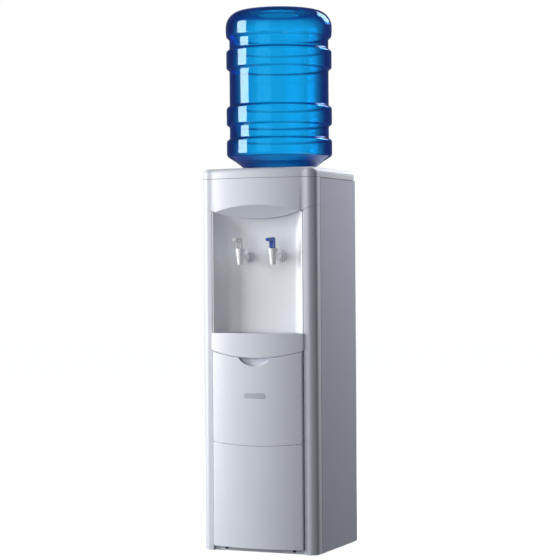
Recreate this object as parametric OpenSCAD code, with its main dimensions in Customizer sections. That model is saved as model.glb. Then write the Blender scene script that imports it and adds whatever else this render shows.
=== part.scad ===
// Floor-standing water dispenser: a slim moulded front on a sheet-metal cabinet, a sheltered niche
// with two lever taps over a pull-out drip tray, and a twenty-litre bottle inverted on the top cover.
// Millimetres, +Z up, front towards -Y, origin on the floor under the centre of the bounding box.

/* [Cabinet] */
// Width over the moulded front
body_w = 310; // [290:1:380]
// Depth from the flat column faces to the rear edge of the side panels
body_d = 288; // [270:1:350]
// Height from the floor to the top cover's seam
seam_z = 937; // [915:1:1100]
// Height of the top cover above its seam
cover_h = 25; // [20:1:40]
// Plan radius of the vertical front corners
corner_r = 22; // [12:1:26]
// How far the moulded front wraps round each side
return_d = 38; // [32:1:42]
// Wall of the moulded plastic pieces
wall = 3; // [2.5:0.1:3.5]
// Thickness of the sheet metal
sheet = 1.2; // [0.8:0.1:1.6]

/* [Bowed front] */
// Half width of the flat-column opening that the front panels fill
open_hw = 123.5; // [112:0.5:132]
// How far the fascia bows forward of the columns
bow = 18; // [8:1:22]
// How much further forward the lower panels and tray front stand
proud = 6; // [4:0.5:8]
// Lowest point of the fascia's curved lower edge
lip_z = 835.5; // [810:0.5:850]
// Radius of the fascia's curved lower edge
lip_r = 385; // [340:5:600]
// Slope of the soffit under the fascia, from vertical
soffit_angle = 46.5; // [35:0.5:55]
// Height of the crease above the soffit, at the middle
crease_z = 869.5; // [860:0.5:885]

/* [Niche] */
// Depth of the niche behind the column faces
niche_d = 45; // [38:1:52]
// Half width of the niche's back wall
niche_back_hw = 92; // [78:1:100]
// Height where the back wall starts to curve forward into the ceiling
cove_z = 785; // [775:1:795]
// Height of the ceiling at the column faces
cove_front_z = 853; // [845:1:860]
// Wall of the niche liner
liner_t = 2.5; // [2:0.1:3]

/* [Drip tray] */
// Height of the tray's front edge
tray_top_z = 550; // [530:1:580]
// Height of the tray front at the middle
tray_front_h = 62; // [52:1:70]
// Radius of the tray front's curved lower edge
tray_arc_r = 450; // [400:10:700]
// Half width of the tray front
tray_hw = 126; // [115:1:134]
// Depth of the tray's basin
basin_h = 37; // [28:1:40]
// Wall of the basin
basin_t = 2; // [1.5:0.1:2.5]
// Thickness of the drip grille
grille_t = 3; // [2:0.5:4]

/* [Front panels] */
// Half width of the two front panels
panel_hw = 121; // [110:1:130]
// Height of the seam between the two panels, at the middle
mid_seam_z = 270; // [230:1:330]
// Radius of that seam's gentle curve
mid_seam_r = 1050; // [800:10:1600]
// Height of the lower panel's bottom edge
panel_foot_z = 15; // [12:1:25]
// Width of the finger scoop under the tray
scoop_w = 87; // [70:1:110]
// Height of the finger scoop
scoop_h = 20; // [14:1:26]
// Depth of the finger scoop
scoop_d = 14; // [10:1:16]
// Height of the badge plate's centre
badge_z = 395; // [360:1:430]
// Length of the badge plate
badge_w = 58; // [40:1:70]
// Height of the badge plate
badge_h = 13; // [10:0.5:16]

/* [Taps] */
// Distance of each tap from the middle
tap_x = 44.5; // [36:0.5:55]
// Height of the tap barrels
tap_z = 741; // [735:0.5:743]
// Distance of the spout axis behind the column faces
spout_y = -2; // [-6:0.5:4]
// Outer radius of the wall flange
flange_r = 16; // [14:0.5:18]
// Outer radius of the threaded tail
tail_r = 7; // [6.5:0.5:8]
// Radius of the tap's outlet
outlet_r = 4; // [3:0.5:4.5]
// Radius of the valve chamber
chamber_r = 7; // [6.5:0.1:7.2]
// Reach of the lever's tip in front of the spout axis
lever_reach = 38; // [32:1:44]
// Width of the lever
lever_w = 12.4; // [11.6:0.1:12.8]
// Radius of the lever's hinge pin
pin_r = 1.5; // [1.2:0.1:1.8]

/* [Bottle] */
// Radius of the bottle at its rings
ring_r = 135; // [115:1:145]
// Radius of the bottle between its rings
waist_r = 127; // [110:1:137]
// Height of the bottle's base, which is uppermost
bottle_top_z = 1370; // [1330:1:1420]
// Wall of the bottle
bottle_t = 2; // [1.5:0.1:3]
// Outer radius of the bottle's neck
neck_r = 27.5; // [25:0.5:29]
// Distance of the bottle's axis behind the column faces
bottle_y = 148; // [140:1:156]

/* [Cold tank] */
// Inner radius of the tank
tank_r = 70; // [60:1:74]
// Height of the tank's floor
tank_z = 777; // [774:1:785]
// Thickness of the foam
foam_t = 13; // [10:1:14]
// Outer radius of the evaporator tube
evap_r = 3; // [2.5:0.1:3.2]
// Turns of the evaporator coil
evap_turns = 5; // [3:1:5]

/* [Cooling unit] */
// Radius of the compressor shell
comp_r = 64; // [54:1:68]
// Height of the compressor shell
comp_h = 150; // [130:1:165]
// Distance of the compressor's axis behind the column faces
comp_y = 170; // [150:1:185]
// Half width of the condenser's straight runs
cond_hw = 112; // [90:1:115]
// Height of the condenser's lowest run
cond_z = 345; // [330:1:380]
// Rows of the condenser tube (odd)
cond_rows = 21; // [15:2:21]
// Distance between rows
cond_pitch = 25; // [20:1:25]
// Outer radius of the condenser tube
cond_r = 2.4; // [2:0.1:3]
// Radius of the condenser wires
wire_r = 0.8; // [0.6:0.1:1]

/* [Fits] */
// Visible gap between mouldings
seam_gap = 0.6; // [0.4:0.1:1]
// Gap between pieces that slide or lift past each other
fit_gap = 0.5; // [0.4:0.1:0.8]
// Radial clearance of a hinge pin or shaft
running = 0.05; // [0.02:0.01:0.09]

/* [Hidden] */
$fn = 72;
fine = 360;          // facets on the very large radii
eps = 0.01;          // overshoot of a cut past a face

hw = body_w / 2;
foot_h = 4;
foot_r = 14;
skirt_z = foot_h - sheet; // lower edge of the columns and side panels
cover_top_z = seam_z + cover_h;
side_y = return_d + 2;
rear_y = body_d + sheet;

bow_r = (open_hw * open_hw + bow * bow) / (2 * bow);
front_bow = bow + proud;
front_r = (tray_hw * tray_hw + (front_bow - 4) * (front_bow - 4)) / (2 * (front_bow - 4));

cove_h = cove_front_z - cove_z;
cove_r = (niche_d * niche_d + cove_h * cove_h) / (2 * niche_d);
basin_z = tray_top_z - basin_h;
liner_floor_z = basin_z - fit_gap;
tray_foot_z = tray_top_z - tray_front_h;
tray_arc_z = tray_foot_z + tray_arc_r;
mid_arc_z = mid_seam_z + mid_seam_r;
grille_z = tray_top_z - 3.5 - grille_t;

rail_y = 8;
plinth_y = 9;
plinth_top_z = panel_foot_z + 9;
pan_y = plinth_y + wall;
plinth_screw_x = 92;
plinth_screw_z = 10.5;

spout_foot_z = tap_z - 20;
collar_z = tap_z + 12;
bonnet_z = collar_z + 8;
seat_z = tap_z - 8;
pivot_y = spout_y - 4.4;
pivot_z = bonnet_z - 2.2;
cup_r = 9.8;
cup_z = pivot_z - 4.8;
lever_top_z = bonnet_z + 27.6;
cross_r = 1.1;
stem_r = 2.2;
cross_z = pivot_z + 2;
plunger_h = 6;
tail_y = niche_d + liner_t + 12.5;
barb_r = 5;
barb_y = tail_y + 20;
gasket_t = 1;
hose_bore_r = barb_r + 0.1;
hose_r = hose_bore_r + 1.3;
hose_bend = 14;
hose_drop_y = bottle_y - 30;

neck_z = 897;
shoulder_z = 925;
seat_rim_z = cover_top_z + 2;
seat_flange_r = 108;
cap_r = neck_r + 1.6;
collar_r = cap_r + 5;
lid_z = tank_z + 100;
lid_t = 3;
probe_z = lid_z + lid_t;
probe_t = 3;
probe_r = 7.5;
tank_t = 2;
tank_out_r = tank_r + tank_t;
coil_r = tank_out_r + evap_r + 0.7;
foam_in_r = coil_r + evap_r + 0.6;
foam_r = foam_in_r + foam_t;
foam_z = tank_z - 15;
shelf_z = foam_z - sheet;

cond_y = rear_y + 15;
wire_y = cond_r + wire_r + 0.02;
mount_h = 8;
pan_floor_z = foot_h + sheet;
comp_plate_z = pan_floor_z + mount_h;
comp_z = comp_plate_z + 2.5;
control_z = 265;
control_x = 100;
rear_foot_z = 205;
shaft_r = 3;
knob_r = 14;

lever_tip_y = spout_y - lever_reach;
rear_most_y = cond_y + wire_y + wire_r;
y_shift = -(lever_tip_y + rear_most_y) / 2;

// ---- shared helpers ----

// Moves a piece from the column-face datum to the part's own origin
module placed() translate([0, y_shift, 0]) children();

// A cylinder lying along Y
module along_y(r, x, z, y0, y1, facets = $fn)
    translate([x, y0, z]) rotate([-90, 0, 0]) cylinder(r = r, h = y1 - y0, $fn = facets);

// A cylinder lying along X
module along_x(r, y, z, x0, x1)
    translate([x0, y, z]) rotate([0, 90, 0]) cylinder(r = r, h = x1 - x0);

// A tube standing on z0
module tube(r_out, r_in, z0, h)
    translate([0, 0, z0]) difference() {
        cylinder(r = r_out, h = h);
        translate([0, 0, -1]) cylinder(r = r_in, h = h + 2);
    }

// Plan of the cabinet with rounded front corners, drawn in by inset, as deep as depth
module column_plan(inset, depth)
    intersection() {
        union() {
            translate([-(hw - corner_r), inset]) square([2 * (hw - corner_r), body_d]);
            translate([-(hw - inset), corner_r]) square([2 * (hw - inset), body_d]);
            for (s = [-1, 1]) translate([s * (hw - corner_r), corner_r]) circle(r = corner_r - inset);
        }
        translate([-hw, 0]) square([body_w, depth]);
    }

// Plan of a bowed front of that radius, bulge and half width, drawn in by inset
module bowed_plan(radius, bulge, half, inset, back)
    intersection() {
        translate([0, radius - bulge]) circle(r = radius - inset, $fn = fine);
        translate([-half + inset, -bulge - 1]) square([2 * (half - inset), bulge + 1 + back]);
    }

// Plan of the head of the cabinet: the columns with the fascia's bow between them
module head_plan(inset, depth) {
    column_plan(inset, depth);
    bowed_plan(bow_r, bow, hw - corner_r + inset, inset, corner_r);
}

// Everything above the arc that sweeps across the front with its lowest point at z
module above_arc(radius, z) along_y(radius, 0, z + radius, -bow - 40, body_d, fine);

function unit(v) = v / norm(v);
function tangents(p) = [for (i = [0:len(p) - 1]) unit(p[min(i + 1, len(p) - 1)] - p[max(i - 1, 0)])];
function normals(t, i = 0, n = [0.31, 0.53, 0.79]) = i >= len(t)
    ? [] : let (m = unit(n - (n * t[i]) * t[i])) concat([m], normals(t, i + 1, m));
function eased(a, p, b, s) = [for (t = [0:0.25:1]) (1 - t) * (1 - t) * (p + s * unit(a - p))
    + 2 * t * (1 - t) * p + t * t * (p + s * unit(b - p))];
// A route with its corners rounded over the distance s
function rounded(p, s) = concat([p[0]], [for (i = [1:len(p) - 2]) each eased(p[i - 1], p[i], p[i + 1], s)],
    [p[len(p) - 1]]);

// A pipe swept along a route
module pipe(route, r, sides = 8) {
    t = tangents(route);
    n = normals(t);
    rings = len(route);
    points = [for (i = [0:rings - 1], k = [0:sides - 1])
        route[i] + r * (cos(360 * k / sides) * n[i] + sin(360 * k / sides) * cross(t[i], n[i]))];
    quads = [for (i = [0:rings - 2], k = [0:sides - 1])
        let (a = i * sides + k, b = i * sides + (k + 1) % sides) [a, a + sides, b + sides, b]];
    ends = [[for (k = [0:sides - 1]) k], [for (k = [sides - 1:-1:0]) (rings - 1) * sides + k]];
    polyhedron(points = points, faces = concat(quads, ends));
}

// ---- cabinet ----

// Galvanised pan that carries the cooling unit, with turned-up edges
module base_pan() placed() color([0.55, 0.57, 0.6]) {
    rim_h = 24;
    w = 2 * (hw - 15);
    d = body_d - pan_y - 1;
    difference() {
        translate([-w / 2, pan_y, foot_h]) cube([w, d, rim_h]);
        translate([-w / 2 + sheet, pan_y + sheet, pan_floor_z]) cube([w - 2 * sheet, d - 2 * sheet, rim_h]);
        for (s = [-1, 1])
            along_y(1.8, s * plinth_screw_x, plinth_screw_z, pan_y - 1, pan_y + sheet + 1);
        compressor_corners() translate([0, 0, foot_h - 1]) cylinder(r = 3.2, h = sheet + 2);
    }
}

// Four rubber pads that the pan stands on
module feet() placed() color([0.12, 0.12, 0.13])
    for (x = [-1, 1], y = [pan_y + 25, body_d - 30])
        translate([x * (hw - 35), y, 0]) cylinder(r1 = foot_r - 1, r2 = foot_r, h = foot_h);

// Moulded surround: two wrapped columns joined by rails and a recessed plinth
module front_frame() placed() color([0.86, 0.88, 0.91])
    difference() {
        union() {
            columns();
            for (z = [mid_seam_z - 8, tray_foot_z + 7]) frame_rail(rail_y, z, 14);
            plinth();
        }
        above_arc(lip_r + seam_gap, lip_z - seam_gap);
        for (s = [-1, 1])
            along_y(2.4, s * plinth_screw_x, plinth_screw_z, plinth_y - 1, pan_y + 1);
    }

module columns() {
    h = lip_z + 40 - skirt_z;
    translate([0, 0, skirt_z]) difference() {
        linear_extrude(h) column_plan(0, return_d);
        translate([0, 0, -1]) linear_extrude(h + 2) column_plan(wall, return_d + 1);
        translate([-open_hw, -1, -1]) cube([2 * open_hw, return_d + 2, h + 2]);
    }
    for (s = [-1, 1])
        translate([s * (open_hw + wall / 2) - wall / 2, wall / 2, skirt_z]) cube([wall, 10, h]);
}

module frame_rail(y, z, h) translate([-open_hw - wall, y, z]) cube([2 * (open_hw + wall), wall, h]);

module plinth() {
    frame_rail(plinth_y, skirt_z, plinth_top_z - skirt_z);
    frame_rail(rail_y, plinth_top_z - wall, 14);
    translate([-open_hw - wall, rail_y, plinth_top_z - wall])
        cube([2 * (open_hw + wall), plinth_y + wall - rail_y, wall]);
    for (s = [-1, 1])
        translate([s * (open_hw + wall / 2) - wall / 2, rail_y, skirt_z])
            cube([wall, plinth_y + wall - rail_y, plinth_top_z - skirt_z]);
}

// Two pan-head screws through the plinth into the pan
module plinth_screws() placed() color([0.25, 0.25, 0.27])
    for (s = [-1, 1]) {
        along_y(4, s * plinth_screw_x, plinth_screw_z, plinth_y - 2, plinth_y);
        along_y(1.6, s * plinth_screw_x, plinth_screw_z, plinth_y - eps, pan_y + 8);
    }

// Bowed head panel with its sloping soffit and curved lower edge
module fascia() placed() color([0.89, 0.91, 0.94])
    difference() {
        fascia_block(0, seam_z - seam_gap, return_d);
        fascia_block(wall, seam_z + 10, return_d + 5);
    }

module fascia_block(inset, top_z, depth)
    intersection() {
        translate([0, 0, lip_z - 10]) linear_extrude(top_z - lip_z + 10) head_plan(inset, depth);
        above_arc(lip_r - inset, lip_z + inset);
        translate([-hw - 5, -bow, crease_z + inset * 1.4]) rotate([-soffit_angle, 0, 0])
            translate([0, -60, 0]) cube([2 * hw + 10, 400, 400]);
    }

// Recessed bay with splayed sides, a coved ceiling and a floor under the tray
module niche_liner() placed() color([0.88, 0.9, 0.93])
    difference() {
        niche_space(liner_t, liner_floor_z - liner_t, 0);
        niche_space(0, liner_floor_z, 1);
        above_arc(lip_r + seam_gap, lip_z - seam_gap);
        for (s = [-1, 1]) along_y(tail_r + 0.3, s * tap_x, tap_z, niche_d - 1, niche_d + liner_t + 1);
    }

module niche_space(grow, floor_z, ahead)
    intersection() {
        translate([0, 0, floor_z]) linear_extrude(cove_front_z + 10 - floor_z)
            niche_plan(grow, ahead);
        union() {
            translate([-hw, -5, floor_z]) cube([2 * hw, niche_d + 5 + grow, cove_z - floor_z]);
            along_x(cove_r + grow, niche_d - cove_r, cove_z, -hw, hw);
        }
    }

module niche_plan(grow, ahead) {
    splay = (open_hw - fit_gap - liner_t - niche_back_hw) / niche_d;
    front_hw = open_hw - fit_gap - liner_t + grow;
    back_hw = niche_back_hw + grow;
    polygon([[-front_hw - ahead * splay, -ahead], [front_hw + ahead * splay, -ahead],
        [back_hw, niche_d + grow], [-back_hw, niche_d + grow]]);
}

// Top moulding with a round opening for the bottle seat
module top_cover() placed() color([0.88, 0.9, 0.93])
    difference() {
        translate([0, 0, seam_z]) linear_extrude(cover_h) head_plan(0, body_d);
        translate([0, 0, seam_z - 1]) linear_extrude(cover_h - wall + 1) head_plan(wall, body_d - wall);
        translate([0, bottle_y, seam_z]) cylinder(r = seat_flange_r - 8, h = cover_h + 10);
    }

// Painted steel side with turned-in front and rear flanges
module side_panel(side) {
    h = seam_z - 1 - skirt_z;
    depth = body_d - side_y;
    face_x = hw - 0.5;
    difference() {
        translate([side > 0 ? face_x - 14 : -face_x, side_y, skirt_z]) cube([14, depth, h]);
        translate([side > 0 ? face_x - 14 - 1 : -face_x + sheet, side_y + sheet, skirt_z - 1])
            cube([14 + 1 - sheet, depth - 2 * sheet, h + 2]);
        for (z = rear_screw_zs())
            along_y(1.8, side * (hw - 9), z, body_d - 5, body_d + 1);
    }
    translate([side > 0 ? face_x - 19 : -face_x, side_y, skirt_z]) cube([19, depth, sheet]);
}
module side_panel_left() placed() color([0.75, 0.76, 0.82]) side_panel(-1);
module side_panel_right() placed() color([0.75, 0.76, 0.82]) side_panel(1);

function rear_screw_zs() = [for (i = [0:4]) rear_foot_z + 15 + i * (seam_z - rear_foot_z - 40) / 4];

// Steel back with rows of cooling slots, open below for the compressor
module rear_panel() placed() color([0.7, 0.72, 0.75])
    difference() {
        translate([-hw + 4, body_d, rear_foot_z]) cube([body_w - 8, sheet, seam_z - 3 - rear_foot_z]);
        for (z = rear_screw_zs(), s = [-1, 1]) along_y(1.8, s * (hw - 9), z, body_d - 1, rear_y + 1);
        for (row = [0:4], x = [-70:20:70])
            translate([x - 3, body_d - 1, 700 + row * 36]) cube([6, sheet + 2, 24]);
        along_y(shaft_r + 1, control_x, control_z, body_d - 1, rear_y + 1);
        along_y(7, -control_x, control_z, body_d - 1, rear_y + 1);
    }

module rear_screws() placed() color([0.6, 0.6, 0.62])
    for (z = rear_screw_zs(), s = [-1, 1]) {
        along_y(3.6, s * (hw - 9), z, rear_y, rear_y + 2);
        along_y(1.6, s * (hw - 9), z, body_d - 8, rear_y + eps);
    }

// ---- front panels and tray ----

// A bowed shell between two heights, closed round its edges
module bowed_shell(half, back, z0, z1)
    difference() {
        translate([0, 0, z0]) linear_extrude(z1 - z0) bowed_plan(front_r, front_bow, half, 0, back);
        translate([0, 0, z0 + wall]) linear_extrude(z1 - z0 - 2 * wall)
            bowed_plan(front_r, front_bow, half, wall, back + 1);
    }

// Panel under the tray, with the finger scoop in its top edge
module upper_panel() placed() color([0.88, 0.9, 0.93])
    difference() {
        union() {
            difference() {
                bowed_shell(panel_hw, rail_y - 2, mid_seam_z - 10, tray_foot_z + 40);
                above_arc(tray_arc_r + seam_gap, tray_foot_z - seam_gap);
                below_mid_seam(seam_gap / 2);
            }
            intersection() {
                scoop(scoop_w / 2 + wall, scoop_d + wall, 0);
                difference() {
                    scoop_bounds();
                    above_arc(tray_arc_r + seam_gap, tray_foot_z - seam_gap);
                }
            }
        }
        scoop(scoop_w / 2, scoop_d, wall);
    }

module below_mid_seam(gap)
    difference() {
        translate([-hw, -60, 0]) cube([body_w, 120, mid_seam_z + 30]);
        above_arc(mid_seam_r - gap, mid_seam_z + gap);
    }

module scoop_bounds()
    translate([0, 0, tray_foot_z - scoop_h - wall - 1]) linear_extrude(60)
        bowed_plan(front_r, front_bow, panel_hw, 0, 20);

// Smile-shaped pocket behind the panel's face
module scoop(half, depth, ahead) {
    sag = scoop_h + half - scoop_w / 2;
    r = (half * half + sag * sag) / (2 * sag);
    along_y(r, 0, tray_foot_z - sag + r, -front_bow - ahead, -front_bow + depth);
}

// Blank oval plate on the panel
module badge_plate() placed() color([0.3, 0.32, 0.36])
    intersection() {
        rotate([90, 0, 0]) linear_extrude(60) {
            translate([-(badge_w - badge_h) / 2, badge_z - badge_h / 2]) square([badge_w - badge_h, badge_h]);
            for (s = [-1, 1]) translate([s * (badge_w - badge_h) / 2, badge_z]) circle(r = badge_h / 2);
        }
        translate([0, 0, badge_z - 20]) linear_extrude(40) difference() {
            translate([0, front_r - front_bow]) circle(r = front_r + 0.8, $fn = fine);
            translate([0, front_r - front_bow]) circle(r = front_r, $fn = fine);
        }
    }

// Plain panel below the seam
module lower_panel() placed() color([0.88, 0.9, 0.93])
    difference() {
        bowed_shell(panel_hw, rail_y - 2, panel_foot_z, mid_seam_z + 20);
        above_arc(mid_seam_r + seam_gap / 2, mid_seam_z - seam_gap / 2);
    }

// Plan of the tray's basin: bowed in front, splayed to the niche behind
module basin_plan(inset) {
    clear = inset + fit_gap;
    front_hw = open_hw - fit_gap - liner_t - clear;
    bowed_plan(front_r, front_bow, front_hw, inset, 0.1);
    polygon([[-front_hw, 0], [front_hw, 0], [niche_back_hw - clear, niche_d - clear],
        [-niche_back_hw + clear, niche_d - clear]]);
}

// Pull-out tray: bowed front over a basin with a ledge for the grille
module drip_tray() placed() color([0.87, 0.89, 0.92])
    difference() {
        union() {
            intersection() {
                translate([0, 0, tray_foot_z]) linear_extrude(tray_front_h)
                    difference() {
                        bowed_plan(front_r, front_bow, tray_hw, 0, -fit_gap);
                        bowed_plan(front_r, front_bow, tray_hw, wall, -fit_gap - wall / 2);
                    }
                above_arc(tray_arc_r, tray_foot_z);
            }
            translate([0, 0, basin_z]) linear_extrude(basin_h) basin_plan(0);
        }
        translate([0, 0, basin_z + basin_t]) linear_extrude(basin_h) basin_plan(wall + basin_t);
        translate([0, 0, grille_z - 0.3]) linear_extrude(basin_h) basin_plan(wall);
    }

// Slotted grille that lifts out of the tray
module drip_grille() placed() color([0.8, 0.82, 0.85])
    difference() {
        translate([0, 0, grille_z]) linear_extrude(grille_t) basin_plan(wall + fit_gap);
        for (i = [-8:8])
            translate([i * 10 - 2, -14, grille_z - 1]) cube([4, niche_d - 1, grille_t + 2]);
    }

// ---- taps ----

module tap(side) translate([side * tap_x, 0, 0])
    difference() {
        union() {
            translate([0, spout_y, spout_foot_z]) cylinder(r1 = 7, r2 = 11, h = collar_z - spout_foot_z);
            translate([0, spout_y, collar_z]) cylinder(r = 12, h = bonnet_z - collar_z);
            along_y(8.5, 0, tap_z, spout_y, niche_d - gasket_t - 4);
            along_y(flange_r, 0, tap_z, niche_d - gasket_t - 4, niche_d - gasket_t);
            along_y(tail_r, 0, tap_z, niche_d - gasket_t, tail_y);
            along_y(barb_r, 0, tap_z, tail_y - eps, barb_y);
        }
        translate([0, spout_y, seat_z]) cylinder(r = chamber_r, h = bonnet_z);
        translate([0, spout_y, cup_z]) cylinder(r = cup_r, h = 20);
        translate([0, spout_y, spout_foot_z - 1]) cylinder(r = outlet_r, h = bonnet_z - spout_foot_z);
        along_x(pin_r, pivot_y, pivot_z, -20, 20);
        along_y(3, 0, tap_z, spout_y, barb_y + 1);
    }
module tap_left() placed() color([0.93, 0.94, 0.95]) tap(-1);
module tap_right() placed() color([0.93, 0.94, 0.95]) tap(1);

// Bonnet that closes the valve chamber in the floor of the collar's cup
module tap_bonnet(side) translate([side * tap_x, spout_y, 0])
    difference() {
        union() {
            translate([0, 0, cup_z]) cylinder(r = cup_r - 0.3, h = 1.2);
            translate([0, 0, cup_z - 4]) cylinder(r = chamber_r - 0.2, h = 4 + eps);
        }
        translate([0, 0, cup_z - 5]) cylinder(r = stem_r + 0.4, h = 20);
    }
module tap_bonnet_left() placed() color([0.93, 0.94, 0.95]) tap_bonnet(-1);
module tap_bonnet_right() placed() color([0.93, 0.94, 0.95]) tap_bonnet(1);

// Hexagonal nuts that clamp the taps to the niche wall
module tap_nuts() placed() color([0.85, 0.86, 0.88])
    for (s = [-1, 1]) difference() {
        along_y(12.7, s * tap_x, tap_z, niche_d + liner_t, niche_d + liner_t + 7, 6);
        along_y(tail_r + 0.1, s * tap_x, tap_z, niche_d, niche_d + liner_t + 8);
    }

module tap_gaskets() placed() color([0.2, 0.2, 0.22])
    for (s = [-1, 1]) difference() {
        along_y(flange_r - 1, s * tap_x, tap_z, niche_d - gasket_t, niche_d);
        along_y(tail_r + 0.3, s * tap_x, tap_z, niche_d - gasket_t - 1, niche_d + 1);
    }

module lever_pins() placed() color([0.75, 0.76, 0.78])
    for (s = [-1, 1])
        along_x(pin_r, pivot_y, pivot_z, s * tap_x - 11, s * tap_x + 11);

// Beak-shaped lever on two cheeks and a centre web, with ledges that lift the plunger's cross bar
module lever(side) translate([side * tap_x, 0, 0]) {
    cheek_x = lever_w / 2 - 2;
    top = lever_top_z - pivot_z;
    difference() {
        union() {
            intersection() {
                lever_slice(0, lever_w / 2) beak_outline(top);
                beak_bounds();
            }
            for (s = [-1, 1]) lever_slice(s * (cheek_x + 1), 1)
                polygon([[-5.5, 4.3], [-2.2, 3.3], [-2.2, -2.4], [6.4, -2.4], [6.4, 0.6], [5.5, 2.6],
                    [5.5, top - 10], [-5.5, top - 10]]);
            for (s = [-1, 1]) lever_slice(s * (cheek_x - 0.8), 0.85)
                polygon([[2.8, -2.4], [6.4, -2.4], [6.4, 0.6], [2.8, 0.6]]);
            lever_slice(0, 1.1)
                polygon([[-5, 4.3], [-2.4, 3.3], [-2.4, -2.4], [1.2, -2.4], [1.2, top - 10], [-5, top - 10]]);
        }
        along_x(pin_r + running, pivot_y, pivot_z, -lever_w, lever_w);
    }
}

// A slice of the lever centred on x, drawn in (y, z) from the hinge pin
module lever_slice(x, half)
    translate([x - half, pivot_y, pivot_z]) rotate([90, 0, 90]) linear_extrude(2 * half) children();

module beak_outline(top) {
    tip_r = 3.8;
    tip_y = lever_tip_y - pivot_y + tip_r;
    polygon([[tip_y, top - 10.1], [-5.5, top - 12], [5.5, top - 12], [5.5, top - 8.5], [-3, top],
        [tip_y, top - 2.5]]);
    translate([tip_y, top - 6.3]) circle(r = tip_r);
    translate([-3, top - 8.5]) circle(r = 8.5);
}

module beak_bounds()
    translate([0, 0, bonnet_z]) linear_extrude(40)
        polygon([[-lever_w / 2, spout_y + 10], [lever_w / 2, spout_y + 10], [lever_w / 2, spout_y - 12],
            [lever_w / 3, lever_tip_y], [-lever_w / 3, lever_tip_y], [-lever_w / 2, spout_y - 12]]);

module lever_left() placed() color([0.93, 0.94, 0.95]) lever(-1);
module lever_right() placed() color([0.16, 0.3, 0.62]) lever(1);

// Valve plunger with a soft seat, a stem and the cross bar that the lever's ledges lift
module plunger(side) translate([side * tap_x, spout_y, 0]) {
    bar = lever_w / 2 - 2.4;
    translate([0, 0, seat_z + 0.3]) cylinder(r1 = chamber_r - 1.6, r2 = chamber_r - 0.6, h = plunger_h);
    translate([0, 0, seat_z + 1]) cylinder(r = stem_r, h = cross_z + 1.6 - seat_z - 1);
    along_x(cross_r, 0, cross_z, -bar, bar);
}
module plunger_left() placed() color([0.9, 0.9, 0.88]) plunger(-1);
module plunger_right() placed() color([0.9, 0.9, 0.88]) plunger(1);

// Return spring between the plunger and the bonnet
module valve_spring(side) {
    z0 = seat_z + plunger_h + 1.2;
    rise = cup_z - 4.6 - z0;
    turns = 4;
    steps = 14;
    translate([side * tap_x, spout_y, 0])
        pipe([for (i = [0:turns * steps]) [5 * cos(360 * i / steps), 5 * sin(360 * i / steps),
            z0 + rise * i / (turns * steps)]], 0.55, 6);
}
module spring_left() placed() color([0.7, 0.7, 0.72]) valve_spring(-1);
module spring_right() placed() color([0.7, 0.7, 0.72]) valve_spring(1);

// ---- water path ----

// Soft tube from a tank outlet down and forward onto a tap's tail
module hose(side) translate([side * tap_x, 0, 0])
    difference() {
        hose_run(hose_r, 0);
        hose_run(hose_bore_r, 1);
    }

module hose_run(r, over) {
    z = tap_z + hose_bend;
    translate([0, hose_drop_y, z - eps]) cylinder(r = r, h = foam_z + 10 - z + over);
    translate([0, hose_drop_y - hose_bend, z]) rotate([0, 90, 0]) rotate_extrude(angle = 90)
        translate([hose_bend, 0]) circle(r = r);
    along_y(r, 0, tap_z, tail_y + 3 - over, hose_drop_y - hose_bend + eps);
}
module hose_cold() placed() color([0.9, 0.91, 0.9]) hose(1);
module hose_ambient() placed() color([0.9, 0.91, 0.9]) hose(-1);

// Stainless cold tank with two outlets in its floor
module reservoir() placed() color([0.72, 0.74, 0.77])
    difference() {
        union() {
            translate([0, bottle_y, tank_z]) cylinder(r = tank_out_r, h = lid_z - tank_z);
            for (s = [-1, 1])
                translate([s * tap_x, hose_drop_y, tap_z + hose_bend + 1])
                    cylinder(r = barb_r, h = tank_z - tap_z - hose_bend);
        }
        translate([0, bottle_y, tank_z + tank_t]) cylinder(r = tank_r, h = lid_z - tank_z);
        for (s = [-1, 1])
            translate([s * tap_x, hose_drop_y, tap_z]) cylinder(r = 3, h = tank_z - tap_z + 10);
    }

module reservoir_lid() placed() color([0.9, 0.9, 0.9])
    translate([0, bottle_y, 0]) tube(tank_out_r, 30, lid_z, lid_t);

// Copper coil wound round the tank
module evaporator_coil() placed() color([0.72, 0.45, 0.3]) {
    steps = 36;
    rise = 80;
    turn_a = 360 / steps;
    coil = [for (i = [0:evap_turns * steps]) [coil_r * sin(turn_a * i), bottle_y + coil_r * cos(turn_a * i),
        tank_z + 8 + rise * i / (evap_turns * steps)]];
    pipe(coil, evap_r, 8);
}

// Foam jacket round the tank and coil
module insulation() placed() color([0.95, 0.95, 0.93])
    difference() {
        translate([0, bottle_y, foam_z]) cylinder(r = foam_r, h = lid_z - foam_z);
        translate([0, bottle_y, tank_z]) cylinder(r = foam_in_r, h = lid_z);
        for (s = [-1, 1])
            translate([s * tap_x, hose_drop_y, foam_z - 1]) cylinder(r = hose_r + 1, h = 40);
    }

// Folded steel shelf under the tank, screwed between the sides
module tank_shelf() placed() color([0.6, 0.62, 0.65]) {
    w = 2 * (hw - 0.5 - sheet);
    y0 = niche_d + liner_t + 3;
    d = min(body_d - 20, riser_y - 6) - y0;
    difference() {
        union() {
            translate([-w / 2, y0, shelf_z]) cube([w, d, sheet]);
            for (s = [-1, 1])
                translate([s > 0 ? w / 2 - sheet : -w / 2, y0, shelf_z - 12]) cube([sheet, d, 12 + eps]);
        }
        for (s = [-1, 1])
            translate([s * tap_x, hose_drop_y, shelf_z - 1]) cylinder(r = hose_r + 1.5, h = 5);
    }
}

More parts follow.
